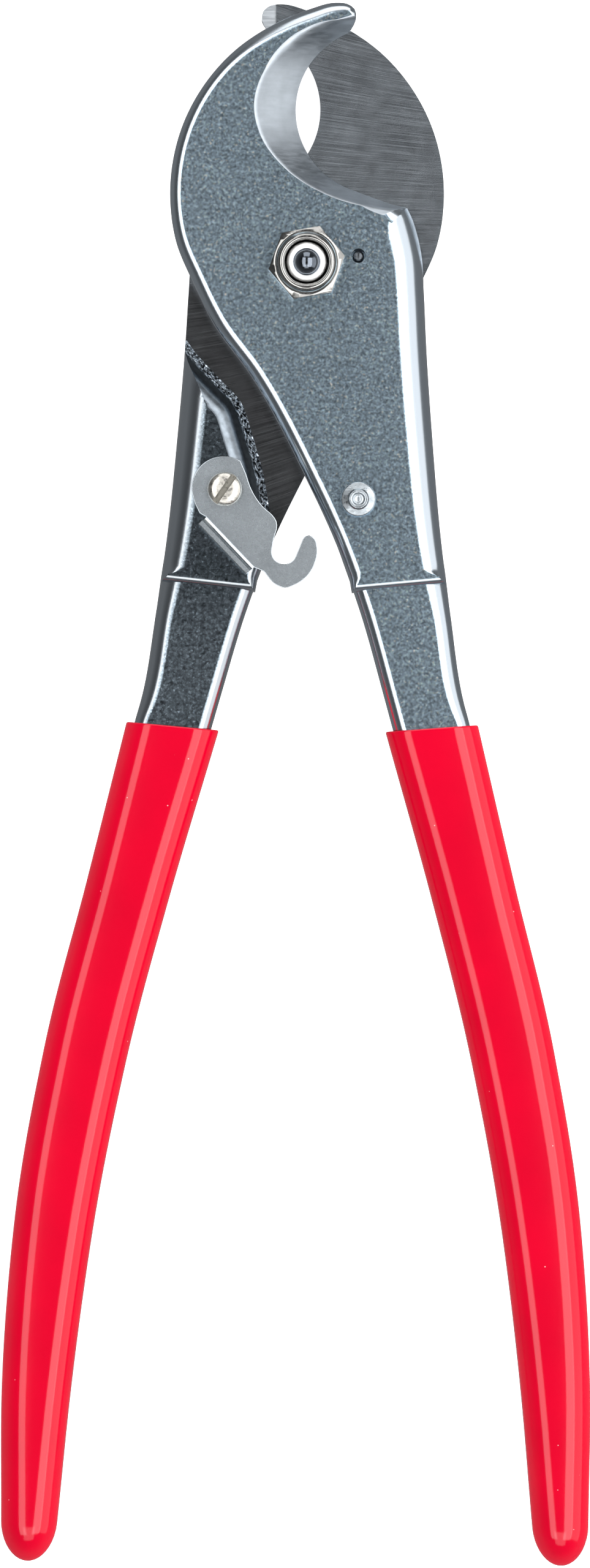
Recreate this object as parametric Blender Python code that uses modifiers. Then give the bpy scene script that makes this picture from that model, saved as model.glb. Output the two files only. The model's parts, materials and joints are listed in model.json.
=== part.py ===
"""Hand cable cutter: two forged levers, back to back on a pivot bolt, with a hook latch.

Both levers are one forging: a hooked jaw, a half-lapped head and a full-thickness tang. The
front lever uses it as it is, and the rear lever is the same forging turned half round the tool's
long axis (Y). The pivot stands along Z, the jaws point to +Y, and the tool lies on Z = 0.
"""

import math

import bmesh
import bpy
from mathutils import Matrix, Vector

MM = 0.001

# Driving dimensions of the levers, in metres
JAW_REACH = 51.3 * MM           # pivot to the tips of the jaws
TANG_LENGTH = 90.1 * MM         # pivot to the mouths of the grips
GRIP_LENGTH = 163.5 * MM        # mouth to end of a grip, along the tool
GRIP_SPREAD = 27.0 * MM         # how far a grip leans outward over its length
LEVER_THICKNESS = 12.4 * MM     # forging at the head and round the latch
TANG_THICKNESS = 10.8 * MM      # forging below the shoulder
GRIP_WALL = 1.2 * MM            # plastic over the tang
GRIP_CORNER = 5.0 * MM          # rounding of a grip's section
MOUTH_SKEW = math.tan(math.radians(10.1))   # the mouth's lean from square to the grip
MOUTH_REACH = 0.14              # share of the grip over which that lean fades
TANG_RIM = 2.6 * MM             # rounding of the tang inside the grip
SHOULDER_FILLET = 1.2 * MM
SHOULDER_TAPER = 2.5 * MM       # over which the side rims narrow to the shoulder's fillet
SHOULDER_AT = 62.8 * MM         # pivot to the middle of the shoulder
SHOULDER_SLOPE = 0.10           # fall of the shoulder line towards the inner edge
EDGE_LAND = 0.4 * MM            # blunt height of the cutting edge
WALL_DRAFT = 3.2 * MM           # lean of the half-lap wall over half the thickness

# Fits
FIT_GAP = 0.3 * MM              # between pieces that touch
LAP_GAP = 0.3 * MM              # between the flats of the two levers

# Pivot
BOLT_DIAMETER = 8.0 * MM
BOLT_HEAD_HEIGHT = 3.0 * MM
HEX_WIDTH = BOLT_DIAMETER + 5.0 * MM         # across the flats of the nut and of the bolt head
HEX_TURN = math.radians(40.6)   # how the nut stands
NUT_HEIGHT = 6.2 * MM           # hexagon alone
COLLAR_HEIGHT = 1.9 * MM
COLLAR_DIAMETER = BOLT_DIAMETER + 3.9 * MM
LOCK_RING_DIAMETER = BOLT_DIAMETER + 2.4 * MM
LOCK_RING_HEIGHT = 1.6 * MM
BOLT_STANDOUT = 1.2 * MM        # bolt end above the nut's collar

# Stop pin beside the nut
PIN_DIAMETER = 2.2 * MM
PIN_LENGTH = 4.5 * MM
PIN_SUNK = 0.6 * MM
PIN_PLACE = (10.1 * MM, 1.8 * MM)

# Latch, its screw and its stud; both stand at places measured from the pivot
STUD_PLACE = (10.5 * MM, -45.7 * MM)
STUD_HEAD_DIAMETER = 6.7 * MM
STUD_NECK_DIAMETER = 4.0 * MM
SCREW_PLACE = (-15.5 * MM, -44.0 * MM)
SCREW_HEAD_DIAMETER = 6.6 * MM
SCREW_HEAD_HEIGHT = 2.2 * MM
SCREW_SHANK_DIAMETER = 4.0 * MM
SCREW_SLOT_WIDTH = 1.2 * MM
SCREW_SLOT_DEPTH = 1.0 * MM
SCREW_SLOT_TURN = math.radians(55)
WASHER_THICKNESS = 0.4 * MM
WASHER_DIAMETER = 9.0 * MM
LATCH_THICKNESS = 1.2 * MM
LATCH_SLOT_WIDTH = 4.7 * MM
TAB_HEIGHT = 4.6 * MM
CLOSING_ANGLE = math.radians(11.7)      # rest to latched, at the pivot
LATCH_HANG = math.radians(36.0)         # rest to latched, at the latch screw
FIXING_DEPTH = 6.5 * MM                 # holes for the screw and the stud

# Worked out from the values above
GRIP_HALF = TANG_THICKNESS / 2 + FIT_GAP + GRIP_WALL
SPLIT_Z = GRIP_HALF                     # plane between the two levers
HALF = LEVER_THICKNESS / 2
FACE_Z = SPLIT_Z + HALF
BACK_Z = SPLIT_Z - HALF
WASHER_GAP = 0.2 * MM                   # above and below the latch's washer
NUT_BASE = FACE_Z + FIT_GAP
NUT_TOP = NUT_BASE + NUT_HEIGHT + COLLAR_HEIGHT
LATCH_BASE = FACE_Z + 2 * WASHER_GAP + WASHER_THICKNESS
DOME_RISE = 1.0 * MM                    # of the bolt's polished end
SKIN_STEP = 0.05 * MM                   # keeps the tang's sides just inside the head's
JAW_ALLOWANCE = 0.8 * MM                # left on the jaw for the bevel cutter to grind away
HEAD_SCALE = JAW_REACH / 51.3           # metres per unit of the head's drawn outline
TANG_SCALE = TANG_LENGTH / 90.1         # the same along the tang

# The head's outline in millimetres, with the radius of its rounded rim at each point.
# BACK runs from the jaw's tip over the outside of the hook, and down the inner edge of the tang.
HEAD_BACK = [
    (8.3, 46.4, 0.25), (9.2, 48.3, 0.7), (8.9, 50.0, 1.3), (7.6, 51.0, 1.9), (5.2, 51.3, 2.5),
    (0.0, 50.0, 3.0),
    (-6.8, 47.0, 2.8), (-14.5, 41.7, 2.4), (-20.6, 34.6, 2.2), (-24.4, 27.2, 2.2),
    (-26.5, 18.5, 2.2), (-26.7, 12.0, 2.2), (-25.6, 4.8, 2.3), (-22.3, -3.1, 2.4),
    (-17.9, -11.8, 2.5),
]
TANG_INNER = [
    (-10.7, -21.6, 2.6), (0.0, -40.9, 2.6), (6.9, -55.7, 2.6), (11.3, -68.1, 2.6), (15.9, -84.0, 2.6),
]
TANG_OUTER = [
    (31.7, -85.5, 3.0), (28.8, -67.8, 3.6), (27.1, -55.8, 4.6), (24.8, -32.0, 5.4), (23.6, -16.0, 5.6),
]
TANG_ROOT = [
    (24.9, -46.5, 3.0), (21.0, -39.5, 3.0), (14.0, -37.0, 3.0), (7.5, -40.0, 3.0), (4.8, -47.0, 3.0),
]
HEAD_SIDE = [(23.0, -5.0, 5.7), (22.5, 2.2, 5.9), (21.6, 6.4, 6.0), (20.7, 9.2, 5.6), (19.5, 11.6, 4.2)]

# The cutting edge is an arc that runs out into a flat throat; the bevel's upper edge is drawn
EDGE_CENTRE = (14.0, 30.6)
EDGE_RADIUS = 16.4
EDGE_ARC = (112, 252)
TIP_ARC_END = 118               # where the jaw's rough outline leaves that arc for the tip
EDGE_THROAT = [(13.6, 13.3), (17.0, 12.2), (20.0, 11.7), (34.0, 11.5)]
BEVEL_TOP = [
    (16.0, 50.2), (8.3, 47.9), (4.5, 47.1), (-2.6, 43.8), (-8.1, 38.0), (-10.2, 31.0),
    (-8.8, 25.0), (-3.9, 18.7), (4.8, 13.5), (14.7, 11.2), (20.0, 10.9), (34.0, 10.9),
]

# The half-lap wall at the split plane. Its upper part is drawn, in head units, from outside the
# outer edge; its lower part follows the other lever's inner edge with the handles closed, as
# pairs of a height down that edge and the clearance there, in millimetres.
WALL_UPPER = [(40.0, -13.0), (24.0, -14.6), (22.2, -17.0)]
WALL_KNEE = 0.54                # where a point on the straight run between the two stands
WALL_LOWER = [(-29.0, 0.6), (-34.0, 0.4), (-41.0, 0.4), (-48.0, 1.0), (-54.0, 1.8)]
WALL_EXIT = (-8.0, -66.0)

# Centre line of a grip and of the tang in it, as shares of GRIP_SPREAD and GRIP_LENGTH, and
# the grip's half-width in millimetres at the same points
HANDLE_TOP_X = 25.3 * MM
HANDLE_LINE = [
    (0.0, 0.0, 8.9), (0.32, 0.2, 8.2), (0.62, 0.4, 8.1), (0.83, 0.6, 7.7), (0.945, 0.8, 6.7),
    (0.985, 0.95, 5.5), (1.0, 1.0, 5.1),
]
DOME_LENGTH = 7.5 * MM
TANG_END_SHARE = 0.8
END_THINNING = 0.86             # thickness of a grip's end against the rest

# The latch lies along +X from its screw to the middle of its slot, in millimetres. The outline
# runs counterclockwise from its round head, along the tab's side, out and round the finger, in
# round the slot and back along the upper side.
LATCH_DRAWN_REACH = 16.4
LATCH_HEAD = ((-0.3, 0.0), 6.1, 105, 238)
LATCH_HEEL = [(-2.0, -6.0), (0.0, -6.6)]
TAB_SPAN = (1.4, 14.6)
TAB_LINE = -6.2
LATCH_FINGER = [
    (16.4, -5.4), (19.8, -5.5), (21.4, -4.7), (22.4, -2.8), (22.8, 0.0), (22.0, 2.8), (20.2, 5.1),
    (18.6, 5.9), (17.4, 5.6), (17.0, 4.7), (17.4, 3.5),
]
LATCH_SLOT_ARC = (22, -145)
LATCH_UPPER = [
    (13.6, -0.2), (12.9, 0.9), (12.3, 2.0), (11.3, 2.9), (9.8, 3.2), (7.6, 3.0), (5.4, 3.2),
    (3.2, 3.8), (0.6, 5.0),
]
BEND_RADIUS = 0.9               # inside of the tab's bend


for existing in list(bpy.data.objects):
    bpy.data.objects.remove(existing, do_unlink=True)
PARTS = bpy.data.collections.new('cable_cutter')
CUTTERS = bpy.data.collections.new('cutters')
for collection in (PARTS, CUTTERS):
    bpy.context.scene.collection.children.link(collection)


def smooth(points, spacing):
    """Points along the smooth curve through the given ones, about spacing apart.

    The curve is a cubic through each point with a slope weighted by its neighbours' distances.
    Coordinates past the second, such as a rim radius, follow along.
    """
    knots = [Vector(point) for point in points]
    lengths = [max((b - a).xy.length, 1e-9) for a, b in zip(knots, knots[1:])]
    chords = [(b - a) / length for a, b, length in zip(knots, knots[1:], lengths)]
    slopes = [chords[0]]
    for before, after, length_before, length_after in zip(chords, chords[1:], lengths, lengths[1:]):
        total = length_before + length_after
        slopes.append((before * length_after + after * length_before) / total)
    slopes.append(chords[-1])
    curve = []
    for i, length in enumerate(lengths):
        steps = max(1, round(length / spacing))
        for step in range(steps):
            t = step / steps
            curve.append(knots[i] * (2 * t ** 3 - 3 * t ** 2 + 1)
                         + slopes[i] * length * (t ** 3 - 2 * t ** 2 + t)
                         + knots[i + 1] * (3 * t ** 2 - 2 * t ** 3)
                         + slopes[i + 1] * length * (t ** 3 - t ** 2))
    return curve + [knots[-1]]


def arc(centre, radius, start, end, steps):
    """Points on a circle from one angle to another, in degrees."""
    angles = [math.radians(start + (end - start) * i / steps) for i in range(steps + 1)]
    return [(centre[0] + radius * math.cos(a), centre[1] + radius * math.sin(a)) for a in angles]


def normals(outline):
    """Mitred normals to the left of a closed outline's direction, one for each point."""
    points = [Vector(point[:2]) for point in outline]
    result = []
    for before, here, after in zip(points[-1:] + points[:-1], points, points[1:] + points[:1]):
        arriving, leaving = (here - before).normalized(), (after - here).normalized()
        both = Vector((-arriving.y - leaving.y, arriving.x + leaving.x))
        result.append(both / max(1 + arriving.dot(leaving), 0.5))
    return result


def head_points(points):
    """Head points in metres, from points drawn in millimetres with a rim radius each."""
    return [(x * HEAD_SCALE, y * HEAD_SCALE, radius * MM) for x, y, radius in points]


def tang_points(points):
    """Tang points in metres, from points drawn in millimetres with a rim radius each."""
    return [(x * MM, y * TANG_SCALE, radius * MM) for x, y, radius in points]


def head_flat(points):
    """Head points without a rim radius, in metres."""
    return [(x * HEAD_SCALE, y * HEAD_SCALE) for x, y in points]


def new_object(name, mesh_builder, collection, placement):
    """Object whose mesh a bmesh function has filled, placed by a matrix."""
    mesh = bpy.data.meshes.new(name)
    built = bmesh.new()
    mesh_builder(built)
    bmesh.ops.recalc_face_normals(built, faces=built.faces)
    built.to_mesh(mesh)
    built.free()
    mesh.shade_smooth()
    mesh.set_sharp_from_angle(angle=math.radians(35))
    made = bpy.data.objects.new(name, mesh)
    made.matrix_world = placement
    collection.objects.link(made)
    if collection is CUTTERS:
        made.hide_render = True
        made.display_type = 'WIRE'
    return made


def skin(built, rings):
    """Closed skin over rings of points of one length, capped at both ends."""
    loops = [[built.verts.new(point) for point in ring] for ring in rings]
    count = len(rings[0])
    for lower, upper in zip(loops, loops[1:]):
        for i in range(count):
            after = (i + 1) % count
            built.faces.new((lower[i], lower[after], upper[after], upper[i]))
    built.faces.new(loops[0][::-1])
    built.faces.new(loops[-1])


def rounded_slab(outline, half, steps=3):
    """Mesh builder for a slab from -half to +half whose rims are rounded.

    Each outline point is (x, y, radius), counterclockwise, and has its own rim radius.
    """
    inward = normals(outline)

    def ring(share, side):
        angle = share * math.pi / 2
        points = []
        for point, normal in zip(outline, inward):
            radius = min(point[2], half)
            inset = radius * (1 - math.sin(angle))
            height = half - radius * (1 - math.cos(angle))
            points.append((point[0] + normal.x * inset, point[1] + normal.y * inset, side * height))
        return points

    lower = [ring(step / steps, -1) for step in range(steps + 1)]
    upper = [ring(step / steps, 1) for step in reversed(range(steps + 1))]
    return lambda built: skin(built, lower + upper)


def cut(target, cutter, operation='DIFFERENCE'):
    """Exact Boolean of target with cutter, kept as a modifier."""
    boolean = target.modifiers.new(cutter.name, 'BOOLEAN')
    boolean.operation = operation
    boolean.object = cutter
    boolean.solver = 'EXACT'


def cylinder(name, radius, low, high, place, collection, sides=48, turn=0.0):
    """Upright cylinder or prism between two heights."""
    matrix = Matrix.Translation((place[0], place[1], (low + high) / 2)) @ Matrix.Rotation(turn, 4, 'Z')

    def build(built):
        bmesh.ops.create_cone(built, cap_ends=True, cap_tris=False, segments=sides, radius1=radius,
                              radius2=radius, depth=high - low)

    return new_object(name, build, collection, matrix)


def box(name, size, centre, turn, collection):
    """Box of a size, turned about Z at its centre."""
    matrix = Matrix.Translation(centre) @ Matrix.Rotation(turn, 4, 'Z')

    def build(built):
        bmesh.ops.create_cube(built, size=1.0, matrix=Matrix.Diagonal((*size, 1.0)))

    return new_object(name, build, collection, matrix)


def turned(name, profile, place, collection, sides=40, closed=False):
    """Turned shape: a profile of (radius, height) swept round Z by a Screw modifier."""
    mesh = bpy.data.meshes.new(name)
    points = [(radius, 0.0, height) for radius, height in profile]
    edges = [(i, i + 1) for i in range(len(points) - 1)]
    if closed:
        edges.append((len(points) - 1, 0))
    mesh.from_pydata(points, edges, [])
    made = bpy.data.objects.new(name, mesh)
    made.location = (place[0], place[1], 0.0)
    collection.objects.link(made)
    screw = made.modifiers.new('turn', 'SCREW')
    screw.steps = screw.render_steps = sides
    screw.use_merge_vertices = True
    screw.merge_threshold = 1e-6
    screw.use_smooth_shade = True
    if collection is CUTTERS:
        made.hide_render = True
        made.display_type = 'WIRE'
    return made


def handle_station(share):
    """Centre, direction and grip half-width at a share of the grip's length."""
    def at(value):
        for low, high in zip(HANDLE_CURVE, HANDLE_CURVE[1:]):
            if value <= high.y:
                blend = (value - low.y) / (high.y - low.y)
                return low.lerp(high, blend)
        return HANDLE_CURVE[-1]

    def place(point):
        return Vector((HANDLE_TOP_X + GRIP_SPREAD * point.x, -TANG_LENGTH - GRIP_LENGTH * point.y))

    here = at(share)
    ahead, behind = place(at(min(share + 0.01, 1.0))), place(at(max(share - 0.01, 0.0)))
    return place(here), (ahead - behind).normalized(), here.z * MM


def tang_edge(side, rim):
    """One edge of the tang inside its grip, from the mouth down."""
    edge = []
    for i in range(15):
        share = TANG_END_SHARE * i / 14
        centre, along, half_width = handle_station(share)
        across = Vector((-along.y, along.x)) * side
        point = centre + across * (half_width - GRIP_WALL - FIT_GAP)
        edge.append((point.x, point.y, rim))
    return edge


def jaw_edge(spacing):
    """Cutting edge, from past the jaw's tip to past the throat, in head units."""
    steps = round(math.radians(EDGE_ARC[1] - EDGE_ARC[0]) * EDGE_RADIUS / spacing)
    curve = arc(EDGE_CENTRE, EDGE_RADIUS, *EDGE_ARC, steps)
    throat = smooth([curve[-1]] + EDGE_THROAT, spacing)[1:]
    return [(20.0, 48.6), (12.0, 47.5)] + curve + [tuple(point) for point in throat]


def resample(points, count):
    """The same open outline as count points at even distances."""
    points = [Vector(point) for point in points]
    marks = [0.0]
    for a, b in zip(points, points[1:]):
        marks.append(marks[-1] + (b - a).length)
    even = []
    segment = 0
    for i in range(count):
        mark = marks[-1] * i / (count - 1)
        while segment < len(points) - 2 and marks[segment + 1] < mark:
            segment += 1
        share = (mark - marks[segment]) / (marks[segment + 1] - marks[segment])
        even.append(tuple(points[segment].lerp(points[segment + 1], min(share, 1.0))))
    return even


def lap_wall():
    """Half-lap wall at the split plane, in metres, from the outer edge to the inner one."""
    edge = smooth(tang_points(TANG_INNER), 2 * MM)
    turn = Matrix.Rotation(-CLOSING_ANGLE, 2)
    lower = []
    for height, clearance in WALL_LOWER:
        place = min(edge, key=lambda point: abs(point.y - height * TANG_SCALE)).xy
        closed = turn @ place
        lower.append((-closed.x + clearance * MM, closed.y - clearance * MM / 2))
    upper = head_flat(WALL_UPPER)
    knee = tuple(Vector(upper[-1]).lerp(Vector(lower[0]), WALL_KNEE))
    exit_point = (WALL_EXIT[0] * MM, WALL_EXIT[1] * TANG_SCALE)
    return upper + [knee] + lower + [exit_point]


def shoulder_height(x):
    """Height of the shoulder line at a distance from the tool's axis."""
    middle = 18.4 * MM
    return -SHOULDER_AT + SHOULDER_SLOPE * (x - middle)


def above_shoulder(points):
    """Points of an edge above the shoulder, their rims narrowing to the shoulder's own."""
    kept = []
    for x, y, rim in points:
        clear = y - shoulder_height(x)
        if clear > SHOULDER_FILLET:
            blend = min(1.0, (clear - SHOULDER_FILLET) / SHOULDER_TAPER)
            kept.append((x, y, SHOULDER_FILLET + (rim - SHOULDER_FILLET) * blend))
    return kept


def head_slab(rim_steps):
    """Mesh builder for the thick part of the forging, from the jaw to the shoulder."""
    fine, coarse = 1.8 * MM, 2.6 * MM
    back = smooth(head_points(HEAD_BACK) + tang_points(TANG_INNER), fine)
    outer = smooth(tang_points(TANG_OUTER) + head_points(HEAD_SIDE), coarse)
    back, outer = above_shoulder(back), above_shoulder(outer)
    left, right = back[-1][0] + 0.4 * MM, outer[0][0] + 0.1 * MM
    sill = [(left + (right - left) * i / 4, shoulder_height(left + (right - left) * i / 4),
             SHOULDER_FILLET) for i in range(5)]
    jaw = [(x + JAW_ALLOWANCE, y, 0.25 * MM) for x, y in head_flat(
        arc(EDGE_CENTRE, EDGE_RADIUS, EDGE_ARC[1], TIP_ARC_END, 16))]
    return rounded_slab(back + sill + outer + jaw, HALF, rim_steps)


def tang_slab(rim_steps):
    """Mesh builder for the thinner tang, from inside the head to inside the grip."""
    inner = tang_points(TANG_INNER)[2:] + tang_edge(-1, TANG_RIM)
    outer = tang_edge(1, TANG_RIM)[::-1] + tang_points(TANG_OUTER)[:3]
    inner = [(x + SKIN_STEP, y, rim) for x, y, rim in inner]
    outer = [(x - SKIN_STEP, y, rim) for x, y, rim in outer] + tang_points(TANG_ROOT)
    outline = [tuple(point) for point in smooth(inner, 5 * MM) + smooth(outer, 5 * MM)]
    return rounded_slab(outline, TANG_THICKNESS / 2, rim_steps)


def lap_sections():
    """Sections of the cutter that takes away the other lever's half of the head."""
    wall = smooth(lap_wall(), 2.5 * MM)
    drafted = [point.xy + normal * WALL_DRAFT for point, normal in zip(wall, normals(wall))]
    drafted[0], drafted[-1] = wall[0].xy, wall[-1].xy
    far = [(-60 * MM, wall[-1].y), (-60 * MM, 70 * MM), (wall[0].x, 70 * MM)]
    floor = [(point.x, point.y) for point in wall] + far
    top = [(point.x, point.y) for point in drafted] + far
    past = 1.15                     # how far through the lever the cutter reaches
    deep = [(a[0] + (b[0] - a[0]) * past, a[1] + (b[1] - a[1]) * past) for a, b in zip(floor, top)]
    return [[(x, y, LAP_GAP / 2) for x, y in floor], [(x, y, -past * HALF) for x, y in deep]]


def bevel_sections():
    """Sections of the cutter that grinds the jaw's bevel and its cutting edge."""
    count = 44
    edge = resample(head_flat(jaw_edge(0.8)), count)
    top = resample([tuple(point) for point in smooth(head_flat(BEVEL_TOP), 0.8 * MM)], count)
    low_height = LAP_GAP / 2 + EDGE_LAND
    rise = HALF - low_height
    above = 0.15
    high = [(b[0] + (b[0] - a[0]) * above, b[1] + (b[1] - a[1]) * above) for a, b in zip(edge, top)]
    far_edge = [(edge[-1][0], edge[0][1])]
    return [
        [(x, y, -HALF) for x, y in edge + far_edge],
        [(x, y, low_height) for x, y in edge + far_edge],
        [(x, y, HALF + rise * above) for x, y in high + far_edge],
    ]


def forging(name, turned_over):
    """One lever: the forging with its half-lap and ground jaw, at rest, on the pivot axis."""
    placement = Matrix.Translation((0.0, 0.0, SPLIT_Z))
    if turned_over:
        placement = placement @ Matrix.Rotation(math.pi, 4, 'Y')
    lever = new_object(name, head_slab(3), PARTS, placement)
    tang = new_object(name + '_tang', tang_slab(3), CUTTERS, placement)
    cut(lever, tang, 'UNION')
    for label, sections in (('lap', lap_sections()), ('bevel', bevel_sections())):
        cutter = new_object(name + '_' + label, lambda built: skin(built, sections), CUTTERS, placement)
        cut(lever, cutter)
    bore = cylinder(name + '_bore', BOLT_DIAMETER / 2 + FIT_GAP, BACK_Z - 5 * MM, FACE_Z + 5 * MM,
                    (0.0, 0.0), CUTTERS)
    cut(lever, bore)
    return lever


def fixing_hole(lever, label, diameter, place, depth):
    """Blind hole in a lever's upper face."""
    hole = cylinder(lever.name + '_' + label, diameter / 2 + FIT_GAP, FACE_Z - depth, FACE_Z + 5 * MM,
                    place, CUTTERS, sides=32)
    cut(lever, hole)


def hexagon(name, width, low, high, collection):
    """Upright hexagonal prism on the pivot axis, by its width across the flats."""
    return cylinder(name, width / 2 / math.cos(math.pi / 6), low, high, (0.0, 0.0), collection,
                    sides=6, turn=HEX_TURN)


def pivot_bolt():
    """Bolt whose low hexagon head sits in the rear lever and whose polished end is domed."""
    head = hexagon('pivot_bolt', HEX_WIDTH, 0.0, BOLT_HEAD_HEIGHT, PARTS)
    radius = BOLT_DIAMETER / 2
    top = NUT_TOP + BOLT_STANDOUT
    dome = [(radius * math.sin(angle), top - DOME_RISE * (1 - math.cos(angle)))
            for angle in (math.radians(10 * step) for step in range(10))]
    profile = [(0.0, top)] + dome[1:] + [(radius, BOLT_HEAD_HEIGHT / 2), (0.0, BOLT_HEAD_HEIGHT / 2)]
    shank = turned('pivot_bolt_shank', profile, (0.0, 0.0), CUTTERS)
    cut(head, shank, 'UNION')
    return head


def pivot_nut():
    """Lock nut: chamfered hexagon and a round collar that holds the nylon ring."""
    nut = hexagon('pivot_nut', HEX_WIDTH, NUT_BASE, NUT_BASE + NUT_HEIGHT, PARTS)
    corner = HEX_WIDTH / 2 / math.cos(math.pi / 6)
    flat = HEX_WIDTH / 2 - 0.2 * MM
    drop = (corner - flat) * math.tan(math.radians(30))
    low, high = NUT_BASE, NUT_BASE + NUT_HEIGHT
    chamfer = [(0.0, high), (flat, high), (corner, high - drop), (corner, low + drop), (flat, low),
               (0.0, low)]
    cut(nut, turned('pivot_nut_chamfer', chamfer, (0.0, 0.0), CUTTERS, 48), 'INTERSECT')
    radius = COLLAR_DIAMETER / 2
    lip = 0.5 * MM
    collar = [(0.0, NUT_TOP), (radius - lip, NUT_TOP), (radius, NUT_TOP - lip), (radius, high - lip),
              (0.0, high - lip)]
    cut(nut, turned('pivot_nut_collar', collar, (0.0, 0.0), CUTTERS, 48), 'UNION')
    cut(nut, cylinder('pivot_nut_bore', BOLT_DIAMETER / 2 + FIT_GAP, low - MM, NUT_TOP + MM,
                      (0.0, 0.0), CUTTERS))
    cut(nut, cylinder('pivot_nut_groove', LOCK_RING_DIAMETER / 2, NUT_TOP - LOCK_RING_HEIGHT,
                      NUT_TOP + MM, (0.0, 0.0), CUTTERS))
    return nut


def ring(name, inner, outer, low, high, place):
    """Flat turned ring between two radii and two heights."""
    return turned(name, [(inner, high), (outer, high), (outer, low), (inner, low)], place, PARTS,
                  closed=True)


def stop_pin():
    """Small pin with a domed end, a little below the front lever's face."""
    radius = PIN_DIAMETER / 2
    top = FACE_Z - PIN_SUNK
    dome = [(radius * math.sin(angle), top - radius / 2 * (1 - math.cos(angle)))
            for angle in (math.radians(18 * step) for step in range(1, 6))]
    profile = [(0.0, top)] + dome + [(radius, top - PIN_LENGTH), (0.0, top - PIN_LENGTH)]
    return turned('stop_pin', profile, PIN_PLACE, PARTS, 24)


def catch_stud():
    """Stud with a base collar, a neck for the latch and a coned head, riveted at the top."""
    head, neck = STUD_HEAD_DIAMETER / 2, STUD_NECK_DIAMETER / 2
    under = LATCH_BASE + LATCH_THICKNESS + FIT_GAP
    profile = [
        (0.0, under + 1.3 * MM), (0.32 * head, under + 1.3 * MM), (0.36 * head, under + 1.6 * MM),
        (0.56 * head, under + 1.6 * MM), (0.62 * head, under + 1.3 * MM), (head, under + 0.8 * MM),
        (head, under + 0.4 * MM), (neck, under), (neck, FACE_Z + 0.6 * MM),
        (neck + 0.8 * MM, FACE_Z + 0.5 * MM), (neck + 0.8 * MM, FACE_Z + FIT_GAP),
        (neck, FACE_Z + FIT_GAP), (neck, FACE_Z - FIXING_DEPTH + FIT_GAP),
        (0.0, FACE_Z - FIXING_DEPTH + FIT_GAP),
    ]
    return turned('catch_stud', profile, STUD_PLACE, PARTS, 36)


def latch_screw():
    """Slotted screw with a low round head that the latch turns on."""
    head, shank = SCREW_HEAD_DIAMETER / 2, SCREW_SHANK_DIAMETER / 2
    under = LATCH_BASE + LATCH_THICKNESS + FIT_GAP
    top = under + SCREW_HEAD_HEIGHT
    profile = [
        (0.0, top), (0.75 * head, top - 0.15 * MM), (0.93 * head, top - 0.5 * MM),
        (head, top - 1.1 * MM), (head, under + 0.1 * MM), (head - 0.1 * MM, under), (shank, under),
        (shank, FACE_Z - FIXING_DEPTH + FIT_GAP), (0.0, FACE_Z - FIXING_DEPTH + FIT_GAP),
    ]
    screw = turned('latch_screw', profile, SCREW_PLACE, PARTS, 36)
    slot = box('latch_screw_slot', (2 * SCREW_HEAD_DIAMETER, SCREW_SLOT_WIDTH, 2 * SCREW_SLOT_DEPTH),
               (*SCREW_PLACE, top), SCREW_SLOT_TURN, CUTTERS)
    cut(screw, slot)
    return screw


def latch_outline(scale):
    """Outline of the latch's flat plate in its own frame, in metres."""
    centre, radius, start, end = LATCH_HEAD
    head = arc(centre, radius, start, end, 14)
    heel = LATCH_HEEL + [(TAB_SPAN[0], TAB_LINE), (TAB_SPAN[1], TAB_LINE)]
    finger = [tuple(point) for point in smooth(LATCH_FINGER, 1.0)]
    slot = arc((LATCH_DRAWN_REACH, 0.0), LATCH_SLOT_WIDTH / MM / 2, *LATCH_SLOT_ARC, 10)
    upper = [tuple(point) for point in smooth(LATCH_UPPER, 1.4)]
    return [(x * scale, y * scale) for x, y in head + heel + finger + slot + upper]


def latch_plate():
    """Latch at rest: flat hook plate with its bent-up thumb tab, hanging from its screw."""
    closed_stud = Matrix.Rotation(-CLOSING_ANGLE, 2) @ Vector(STUD_PLACE)
    reach = closed_stud - Vector(SCREW_PLACE)
    rest = math.atan2(reach.y, reach.x) - LATCH_HANG
    scale = reach.length / LATCH_DRAWN_REACH
    placement = Matrix.Translation((*SCREW_PLACE, LATCH_BASE)) @ Matrix.Rotation(rest, 4, 'Z')
    outline = latch_outline(scale)
    rings = [[(x, y, height) for x, y in outline] for height in (0.0, LATCH_THICKNESS)]
    plate = new_object('latch_plate', lambda built: skin(built, rings), PARTS, placement)

    line = TAB_LINE * scale
    inner, outer = BEND_RADIUS * MM, BEND_RADIUS * MM + LATCH_THICKNESS
    bend_y, bend_z = line, outer
    outside = [(bend_y - outer * math.sin(a), bend_z - outer * math.cos(a))
               for a in (math.radians(15 * step) for step in range(7))]
    inside = [(bend_y - inner * math.sin(a), bend_z - inner * math.cos(a))
              for a in (math.radians(15 * step) for step in reversed(range(7)))]
    root = line + 1.5 * MM
    section = ([(root, SKIN_STEP)] + [(y, max(z, SKIN_STEP)) for y, z in outside]
               + [(line - outer, TAB_HEIGHT), (line - inner, TAB_HEIGHT)] + inside
               + [(root, LATCH_THICKNESS - SKIN_STEP)])
    section = [(y, min(z, LATCH_THICKNESS - SKIN_STEP) if y > line - SKIN_STEP else z)
               for y, z in section]
    ends = [TAB_SPAN[0] * scale + SKIN_STEP, TAB_SPAN[1] * scale - SKIN_STEP]
    tab_rings = [[(x, y, z) for y, z in section] for x in ends]
    tab = new_object('latch_plate_tab', lambda built: skin(built, tab_rings), CUTTERS, placement)
    cut(plate, tab, 'UNION')
    cut(plate, cylinder('latch_plate_hole', SCREW_SHANK_DIAMETER / 2 + FIT_GAP, FACE_Z,
                        FACE_Z + 5 * MM, SCREW_PLACE, CUTTERS, sides=32))
    return plate


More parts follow.
